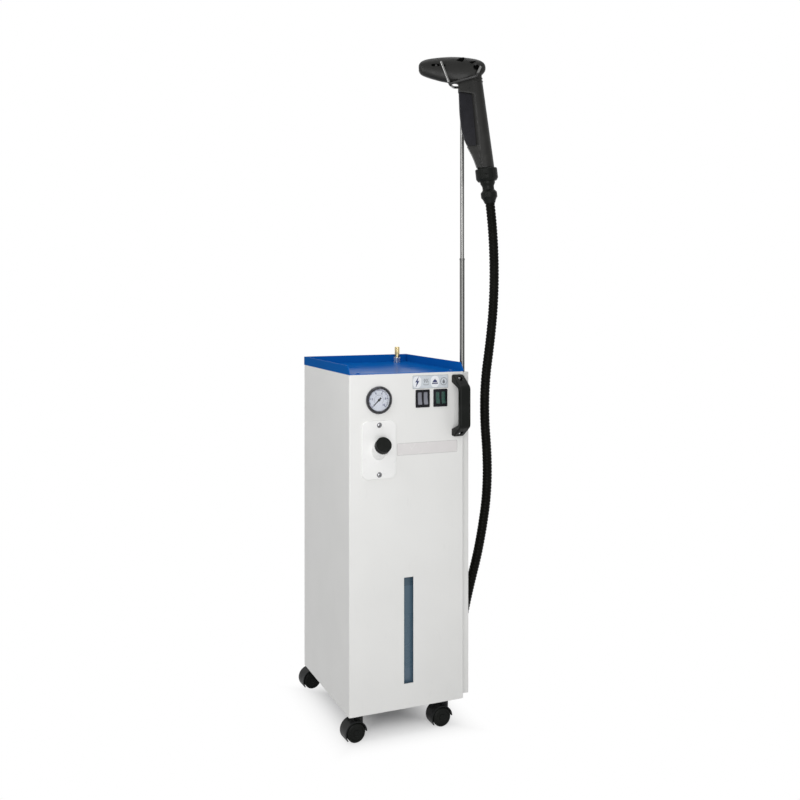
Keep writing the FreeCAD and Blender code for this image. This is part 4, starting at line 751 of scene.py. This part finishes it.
def make_screws(looks):
    ahead = Vector((0, -1, 0))
    heads = Form()
    # Black crosses on the screw heads: painted shade in place of their recesses.
    recess_shade = Form()
    for z in FILLER_SCREW_Z:
        place = at(FILLER_X, -FILLER_PLATE, z)
        dome_head(heads, place, ahead, 6.0, 3.6)
        cross_recess(recess_shade, place + ahead * 3.35 * MM, ahead, 2.4)
    made = heads.object("filler_screw_heads", looks["filler_screw"], "cabinet", "bright_screw", 40)
    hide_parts("filler_screws")
    for z in HANDLE_SCREW_Z:
        cross_recess(recess_shade, at(HANDLE_X, -HANDLE_SEAT - 4.5, z), ahead, 2.2)
    for x in (26.0, 252.0):
        for y in (14.0, 322.0):
            cross_recess(recess_shade, at(x, y, TRAY_FLOOR + 2.3), Vector((0, 0, 1)), 2.0)
    for z in (8.0, 375.0, 742.0):
        for x in (8.0, 270.0):
            cross_recess(recess_shade, at(x, 338.3, z), Vector((0, 1, 0)), 2.0)
    recess_shade.object("screw_recess_shade", looks["needle_black"], "cabinet", "needle_black", 0)


# ---- rocker switches ----

def on_rocker(centre, across, up, out):
    """A point on a rocker at rest: up along its height, out from its pivot."""
    tip = math.radians(ROCKER_THROW / 2)
    y = ROCKER_PIVOT_Y - out * math.cos(tip) + up * math.sin(tip)
    z = SWITCH_Z + up * math.cos(tip) + out * math.sin(tip)
    return at(centre + across, y, z)


def rocker_face(up):
    """How far the hollow face of a rocker stands out from its pivot."""
    return 3.75 + 1.85 * (abs(up) / 14.5) ** 1.6


def rocker_bar(form, centre, across, low, high, width, height):
    """A thin raised bar that follows the rocker's face, from low to high."""
    count = 8
    points, faces = [], []
    for i in range(count + 1):
        up = low + (high - low) * i / count
        out = rocker_face(up)
        for a, o in ((-width / 2, out - 0.6), (width / 2, out - 0.6),
                     (width / 2, out + height), (-width / 2, out + height)):
            points.append(on_rocker(centre, across + a, up, o))
    for i in range(count):
        for k in range(4):
            faces.append([i * 4 + k, i * 4 + (k + 1) % 4, i * 4 + 4 + (k + 1) % 4, i * 4 + 4 + k])
    faces += [[3, 2, 1, 0], [count * 4 + k for k in range(4)]]
    form.add(points, faces)


def make_rockers(looks):
    names = (("steam_low", "steam_high"), ("heater_first", "heater_second"))
    for switch_x, pair in zip(SWITCH_X, names):
        for side, name in zip((-1, 1), pair):
            centre = switch_x + side * ROCKER_OFFSET
            form = Form()
            if name.startswith("heater"):
                # Raised ribs on the heater rockers, in a paler green that is painted highlight.
                for across in (-3.0, -1.5, 0.0, 1.5, 3.0):
                    rocker_bar(form, centre, across, -12.0, 12.0, 0.55, 0.35)
                form.object("rocker_ribs_" + name, looks["rib_highlight_green"], "rocker_" + name,
                            "rocker_green", 30)
            else:
                rocker_bar(form, centre, 0.0, 7.0, 10.5, 0.6, 0.05)
                form.object("rocker_mark_" + name, looks["ink_grey"], "rocker_" + name,
                            "needle_black", 0)


# ---- steam gun: its two moulded halves ----

# Sections of the head along the gun: place, bottom, top, half depth.
HEAD_SECTIONS = [
    (-102.2, 1443.5, 1451.5, 4.0),
    (-100.6, 1438.5, 1457.0, 9.0),
    (-97.5, 1433.5, 1461.0, 12.4),
    (-92.5, 1430.0, 1464.2, 14.6),
    (-84.0, 1426.5, 1467.2, 15.9),
    (-70.0, 1422.0, 1469.8, 16.6),
    (-52.0, 1417.0, 1471.8, 16.9),
    (-30.0, 1412.6, 1473.3, 17.0),
    (-8.0, 1410.2, 1472.9, 17.0),
    (12.0, 1411.6, 1470.9, 16.8),
    (28.0, 1419.0, 1468.4, 16.0),
    (40.0, 1428.4, 1464.8, 14.0),
    (47.5, 1434.8, 1460.2, 11.0),
    (51.0, 1439.4, 1455.4, 7.4),
    (52.4, 1444.0, 1450.5, 3.4),
]
SECTION_STEPS = 40
SECTION_SQUARENESS = 2.35         # 2 is an ellipse; more is squarer
GRIP_TOP = (29.0, 1424.0)
GRIP_END = (53.3, 1216.0)
GRIP_TOP_RADIUS = 15.0
GRIP_END_RADIUS = 19.6
VOXEL = 1.25
SEAM_GAP = 0.22


def soft_sign(value, power):
    return math.copysign(abs(value) ** power, value)


def loft_head(form):
    """The head as sections across the gun, closed at the nose and the tail."""
    power = 2 / SECTION_SQUARENESS
    rings = []
    for along, bottom, top, half in HEAD_SECTIONS:
        middle, rise = (bottom + top) / 2, (top - bottom) / 2
        ring = []
        for i in range(SECTION_STEPS):
            turn = 2 * math.pi * i / SECTION_STEPS
            ring.append(on_gun(along, GUN_PLANE + half * soft_sign(math.cos(turn), power),
                               middle + rise * soft_sign(math.sin(turn), power)))
        rings.append(ring)
    add_rings(form, rings)


def add_rings(form, rings):
    """Join rings of points into a closed skin."""
    steps = len(rings[0])
    last = (len(rings) - 1) * steps
    faces = [list(range(steps))[::-1], [last + i for i in range(steps)]]
    for n in range(len(rings) - 1):
        for i in range(steps):
            j = (i + 1) % steps
            faces.append([n * steps + i, n * steps + j, (n + 1) * steps + j, (n + 1) * steps + i])
    form.add([p for ring in rings for p in ring], faces)


def grip_place(share, out=0.0):
    """A point on the grip's axis, from 0 at the top to 1 at the collar."""
    return on_gun(GRIP_TOP[0] + (GRIP_END[0] - GRIP_TOP[0]) * share, GUN_PLANE + out,
                  GRIP_TOP[1] + (GRIP_END[1] - GRIP_TOP[1]) * share)


def loft_grip(form):
    """The grip: round at the collar, and flatter at the sides towards the top."""
    axis = (grip_place(1.0) - grip_place(0.0)).normalized()
    ahead = (on_gun(0, 1, 0) - on_gun(0, 0, 0)).normalized()
    side = axis.cross(ahead)
    rings = []
    for share in (-0.04, 0.0, 0.15, 0.35, 0.6, 0.85, 1.0):
        radius = GRIP_TOP_RADIUS + (GRIP_END_RADIUS - GRIP_TOP_RADIUS) * share
        ring = []
        for i in range(SECTION_STEPS):
            turn = 2 * math.pi * i / SECTION_STEPS
            ring.append(grip_place(share) + (side * radius * math.cos(turn)
                                             + ahead * radius * 0.98 * math.sin(turn)) * MM)
        rings.append(ring)
    add_rings(form, rings)


def gun_prism(form, outline, near, far):
    """A block between two depths, its outline given along the gun and in height."""
    sweep = on_gun(0, far, 0) - on_gun(0, near, 0)
    form.prism([on_gun(w, near, z) for w, z in outline], sweep)


def loft_throat(form):
    """The bridge between the head and the grip, over the trigger, and the guard below it."""
    outline = [(-10.5, 1390.5), (22.0, 1386.0), (40.0, 1400.0), (43.0, 1432.0), (20.0, 1440.0),
               (-10.5, 1436.0)]
    gun_prism(form, outline, GUN_PLANE - 13.5, GUN_PLANE + 13.5)
    guard = [(9.5, 1268.0), (19.2, 1250.3), (24.0, 1240.1), (27.9, 1229.8), (32.6, 1217.2),
             (52.0, 1217.2), (47.0, 1268.0)]
    gun_prism(form, guard, GUN_PLANE - 12.6, GUN_PLANE + 12.6)


def capsule(w0, w1, z, radius, steps=12):
    """A slot's outline between two centres at one height."""
    return arc(w1, z, radius, -90, 90, steps) + arc(w0, z, radius, 90, 270, steps)


HEAD_RECESSES = [
    capsule(-70.0, -57.0, 1451.0, 3.0),
    arc(-43.0, 1450.0, 2.4, 0, 360, 16)[:-1],
    [(-16.0, 1462.0), (-8.0, 1468.0), (4.0, 1468.5), (-2.0, 1458.0)],
    [(13.0, 1459.0), (30.0, 1461.5), (20.0, 1453.5)],
    arc(8.6, 1423.0, 1.5, 0, 360, 16)[:-1],
]


def gun_cutters():
    """What is cut out of the gun: room for trigger and lock, recesses, the nozzle's bore."""
    form = Form()
    trigger = [(-24.0, 1391.3), (-24.0, 1264.4), (45.0, 1264.4), (38.9, 1300.0), (31.6, 1340.0),
               (24.1, 1385.0), (24.1, 1407.0), (4.0, 1407.0)]
    gun_prism(form, trigger, GUN_PLANE - 7.9, GUN_PLANE + 7.9)
    lock = [(-7.0, 1463.9), (13.0, 1463.9), (13.0, 1490.0), (-7.0, 1490.0)]
    gun_prism(form, lock, GUN_PLANE - 4.5, GUN_PLANE + 4.5)
    for near, far in ((-50.0, -36.0), (-14.0, 0.0)):
        gun_prism(form, arc(29.5, 1446.5, 6.6, 0, 360, 28)[:-1], near, far)
    for near, far in ((-50.0, -39.0), (-11.0, 0.0)):
        for outline in HEAD_RECESSES:
            gun_prism(form, outline, near, far)
    nose = on_gun(-110.0, GUN_PLANE, 1447.0)
    form.lathe([(0.0, 0.0), (6.1, 0.0), (6.1, 43.0), (0.0, 43.0)], nose,
               on_gun(1, 0, 0) - on_gun(0, 0, 0), 32)
    return form


def applied(holder):
    """A new mesh with the object's modifiers applied."""
    graph = bpy.context.evaluated_depsgraph_get()
    graph.update()
    return bpy.data.meshes.new_from_object(holder.evaluated_get(graph))


def loose_object(form, name):
    mesh = bpy.data.meshes.new(name)
    mesh.from_pydata(form.points, [], form.faces)
    made = bpy.data.objects.new(name, mesh)
    bpy.context.scene.collection.objects.link(made)
    finish_mesh(made, 30.0)
    return made


def gun_skin():
    """The whole outer skin: lofts grown together, softened, then cut."""
    form = Form()
    loft_head(form)
    loft_grip(form)
    loft_throat(form)
    holder = loose_object(form, "gun_skin")
    remesh = holder.modifiers.new("grow", "REMESH")
    remesh.mode = "VOXEL"
    remesh.voxel_size = VOXEL * MM
    smooth = holder.modifiers.new("soften", "SMOOTH")
    smooth.factor = 0.6
    smooth.iterations = 14
    cutter = loose_object(gun_cutters(), "gun_cutter")
    cut = holder.modifiers.new("cut", "BOOLEAN")
    cut.operation = "DIFFERENCE"
    cut.solver = "EXACT"
    cut.use_self = True
    cut.object = cutter
    mesh = applied(holder)
    bpy.data.objects.remove(holder)
    bpy.data.objects.remove(cutter)
    return mesh


def half_of(skin, side, material):
    """One half of the skin, closed along the seam: side is -1 for the near half, 1 for the far."""
    work = bmesh.new()
    work.from_mesh(skin)
    plane = on_gun(0, GUN_PLANE + side * SEAM_GAP / 2, 1400)
    normal = (on_gun(0, side, 0) - on_gun(0, 0, 0)).normalized()
    geometry = work.verts[:] + work.edges[:] + work.faces[:]
    bmesh.ops.bisect_plane(work, geom=geometry, dist=1e-6, plane_co=plane, plane_no=normal,
                           clear_inner=True)
    rim = [e for e in work.edges if len(e.link_faces) == 1]
    bmesh.ops.triangle_fill(work, edges=rim, use_beauty=True)
    name = "gun_half_near" if side < 0 else "gun_half_far"
    mesh = bpy.data.meshes.new(name)
    work.to_mesh(mesh)
    work.free()
    made = bpy.data.objects.new(name, mesh)
    bpy.context.scene.collection.objects.link(made)
    mesh.materials.append(material)
    finish_mesh(made, 38.0)
    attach(made, "gun")
    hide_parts("gun_shell_near" if side < 0 else "gun_shell_far")
    return made


def on_skin(tree, along, height, side, lift):
    """The point of the gun's skin seen from its near (-1) or far (1) side, raised by lift."""
    start = on_gun(along, GUN_PLANE + side * 60, height)
    ray = on_gun(0, -side, 0) - on_gun(0, 0, 0)
    place, normal, _, _ = tree.ray_cast(start, ray)
    if place is None:
        return None, None
    return place + normal * lift * MM, normal


def skin_ridge(form, tree, line, side, width, height):
    """A thin raised line that follows the skin through points given along the gun and in height."""
    steps = []
    for (w0, z0), (w1, z1) in zip(line, line[1:]):
        count = max(2, int(math.hypot(w1 - w0, z1 - z0) / 1.5))
        steps += [(w0 + (w1 - w0) * i / count, z0 + (z1 - z0) * i / count) for i in range(count)]
    steps.append(line[-1])
    spots = [on_skin(tree, w, z, side, 0.0) for w, z in steps]
    spots = [s for s in spots if s[0] is not None]
    rings = []
    for i, (place, normal) in enumerate(spots):
        ahead = spots[min(i + 1, len(spots) - 1)][0] - spots[max(i - 1, 0)][0]
        across = normal.cross(ahead).normalized() * (width / 2 * MM)
        up = normal * height * MM
        rings.append([place - across - up, place + across - up, place + across * 0.5 + up,
                      place - across * 0.5 + up])
    add_rings(form, rings)


def make_gun(looks):
    skin = gun_skin()
    halves = [half_of(skin, side, looks["gun_plastic"]) for side in (-1, 1)]
    tree = BVHTree.FromPolygons([v.co.copy() for v in skin.vertices],
                                [list(p.vertices) for p in skin.polygons])
    ridges = Form()
    for side in (-1, 1):
        skin_ridge(ridges, tree, [(2.5, 1467.0), (1.5, 1452.0)], side, 1.3, 0.45)
        skin_ridge(ridges, tree, [(5.0, 1465.0), (20.0, 1450.5), (35.5, 1434.0)], side, 1.3, 0.45)
        skin_ridge(ridges, tree,
                   [(-88.0, 1464.5), (-60.0, 1466.6), (-30.0, 1466.6), (-14.0, 1464.0)],
                   side, 1.2, 0.35)
    ridges.object("gun_ridges", looks["gun_plastic"], "gun", "black_plastic", 40)
    # Near-black plates on the recess floors: painted shade inside the gun's recesses.
    shade_floors = Form()
    for near, far in ((-39.2, -38.8), (-11.2, -10.8)):
        for outline in HEAD_RECESSES:
            gun_prism(shade_floors, outline, near, far)
    for near, far in ((-36.2, -35.8), (-14.2, -13.8)):
        gun_prism(shade_floors, arc(29.5, 1446.5, 6.6, 0, 360, 28)[:-1], near, far)
    shade_floors.object("gun_recess_shade", looks["recess_shade_black"], "gun", "black_plastic", 40)
    bands = Form()
    axis = grip_place(1.0) - grip_place(0.0)
    for distance in (2.5, 9.5):
        share = distance / 209.3
        ring = [(GRIP_TOP_RADIUS - 0.5, -1.5), (GRIP_TOP_RADIUS + 1.1, -1.1),
                (GRIP_TOP_RADIUS + 1.5, 0.0), (GRIP_TOP_RADIUS + 1.1, 1.1),
                (GRIP_TOP_RADIUS - 0.5, 1.5)]
        bands.lathe(ring, grip_place(share), axis, 64)
    bands.object("grip_bands", looks["gun_plastic"], "gun", "black_plastic", 40)
    bpy.data.meshes.remove(skin)
    return halves


# ---- floor, light and backdrop ----

def plain_node_tree(material):
    material.use_nodes = True
    tree = material.node_tree
    tree.nodes.clear()
    return tree


def math_node(tree, operation, *values):
    made = tree.nodes.new("ShaderNodeMath")
    made.operation = operation
    for socket, value in zip(made.inputs, values):
        if isinstance(value, float):
            socket.default_value = value
        else:
            tree.links.new(value, socket)
    return made.outputs[0]


def background_ray(tree):
    """1 for rays that see the backdrop: the camera's, and those off gloss and through glass."""
    path = tree.nodes.new("ShaderNodeLightPath")
    bent = math_node(tree, "MAXIMUM", path.outputs["Is Glossy Ray"],
                     path.outputs["Is Transmission Ray"])
    return math_node(tree, "MAXIMUM", path.outputs["Is Camera Ray"], bent)


FLOOR_REACH = 12.0                # metres, from the middle to each edge
FADE_START = -0.13                # metres from the cabinet's outline, where the shadow fades
FADE_END = 0.06
FLOOR_LIT = (0.6, 0.6, 0.6, 1)    # as the lamps' light meets it
FLOOR_SEEN = (0.93, 0.93, 0.93, 1)
WORLD_STRENGTH = 0.38

# Lamps: name, place, what it points at, size, watts.
LAMPS = [
    ("key", (-0.5, -1.45, 0.82), (0, 0, 0.55), (0.8, 1.2), 11.3),
    ("gun", (-0.75, -0.5, 1.42), (0.13, -0.17, 1.35), (0.15, 0.5), 2),
    ("left", (-0.9, 0.45, 0.7), (0, 0, 0.5), (0.3, 1.2), 0.4),
    ("top", (0.0, 0.0, 3.2), (0, 0, 0), (2.0, 2.0), 20),
]


def make_floor():
    """A white floor that keeps the shadow near the machine and is plain white further out."""
    form = Form()
    form.points = [Vector((x * FLOOR_REACH, y * FLOOR_REACH, 0.0))
                   for x, y in ((-1, -1), (1, -1), (1, 1), (-1, 1))]
    form.faces = [[0, 1, 2, 3]]
    mesh = bpy.data.meshes.new("floor")
    mesh.from_pydata(form.points, [], form.faces)
    floor = bpy.data.objects.new("floor", mesh)
    bpy.context.scene.collection.objects.link(floor)
    material = bpy.data.materials.new("floor")
    tree = plain_node_tree(material)
    place = tree.nodes.new("ShaderNodeSeparateXYZ")
    tree.links.new(tree.nodes.new("ShaderNodeNewGeometry").outputs["Position"], place.inputs[0])
    low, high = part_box("cabinet_shell")
    sides = []
    for i in (0, 1):
        off = math_node(tree, "SUBTRACT", place.outputs[i], (low[i] + high[i]) / 2)
        sides.append(math_node(tree, "SUBTRACT", math_node(tree, "ABSOLUTE", off),
                               (high[i] - low[i]) / 2))
    away = tree.nodes.new("ShaderNodeMapRange")
    away.interpolation_type = "SMOOTHSTEP"
    away.inputs["From Min"].default_value = FADE_START
    away.inputs["From Max"].default_value = FADE_END
    tree.links.new(math_node(tree, "MAXIMUM", *sides), away.inputs["Value"])
    seen = background_ray(tree)
    both = math_node(tree, "MULTIPLY", away.outputs["Result"], seen)
    lit = tree.nodes.new("ShaderNodeBsdfDiffuse")
    shade = tree.nodes.new("ShaderNodeMix")
    shade.data_type = "RGBA"
    shade.inputs["A"].default_value = FLOOR_LIT
    shade.inputs["B"].default_value = FLOOR_SEEN
    tree.links.new(seen, shade.inputs["Factor"])
    tree.links.new(shade.outputs["Result"], lit.inputs["Color"])
    plain = tree.nodes.new("ShaderNodeEmission")
    mix = tree.nodes.new("ShaderNodeMixShader")
    tree.links.new(both, mix.inputs["Fac"])
    tree.links.new(lit.outputs[0], mix.inputs[1])
    tree.links.new(plain.outputs[0], mix.inputs[2])
    out = tree.nodes.new("ShaderNodeOutputMaterial")
    tree.links.new(mix.outputs[0], out.inputs["Surface"])
    mesh.materials.append(material)


def make_world():
    """Plain white light all round, and pure white where the backdrop itself is seen."""
    world = bpy.data.worlds.new("world")
    bpy.context.scene.world = world
    world.use_nodes = True
    tree = world.node_tree
    tree.nodes.clear()
    lit = tree.nodes.new("ShaderNodeBackground")
    lit.inputs["Color"].default_value = (1, 1, 1, 1)
    lit.inputs["Strength"].default_value = WORLD_STRENGTH
    plain = tree.nodes.new("ShaderNodeBackground")
    plain.inputs["Color"].default_value = (1, 1, 1, 1)
    mix = tree.nodes.new("ShaderNodeMixShader")
    tree.links.new(background_ray(tree), mix.inputs["Fac"])
    tree.links.new(lit.outputs[0], mix.inputs[1])
    tree.links.new(plain.outputs[0], mix.inputs[2])
    out = tree.nodes.new("ShaderNodeOutputWorld")
    tree.links.new(mix.outputs[0], out.inputs["Surface"])


def soft_box(name, place, target, size, watts):
    """A rectangular lamp at a place, pointed at a target."""
    data = bpy.data.lights.new(name, "AREA")
    data.shape = "RECTANGLE"
    data.size, data.size_y = size
    data.energy = watts
    lamp = bpy.data.objects.new(name, data)
    lamp.location = place
    lamp.rotation_euler = (Vector(target) - Vector(place)).to_track_quat("-Z", "Y").to_euler()
    bpy.context.scene.collection.objects.link(lamp)


def make_lights():
    for lamp in LAMPS:
        soft_box(*lamp)


# ---- the whole scene ----

def main():
    looks = make_materials()
    make_camera()
    dress_nodes(looks)
    make_hose(looks["hose_black"])
    make_gauge(looks)
    make_labels(looks)
    make_screws(looks)
    make_rockers(looks)
    make_gun(looks)
    make_floor()
    make_world()
    make_lights()
    bpy.context.scene.view_settings.view_transform = "Standard"


main()
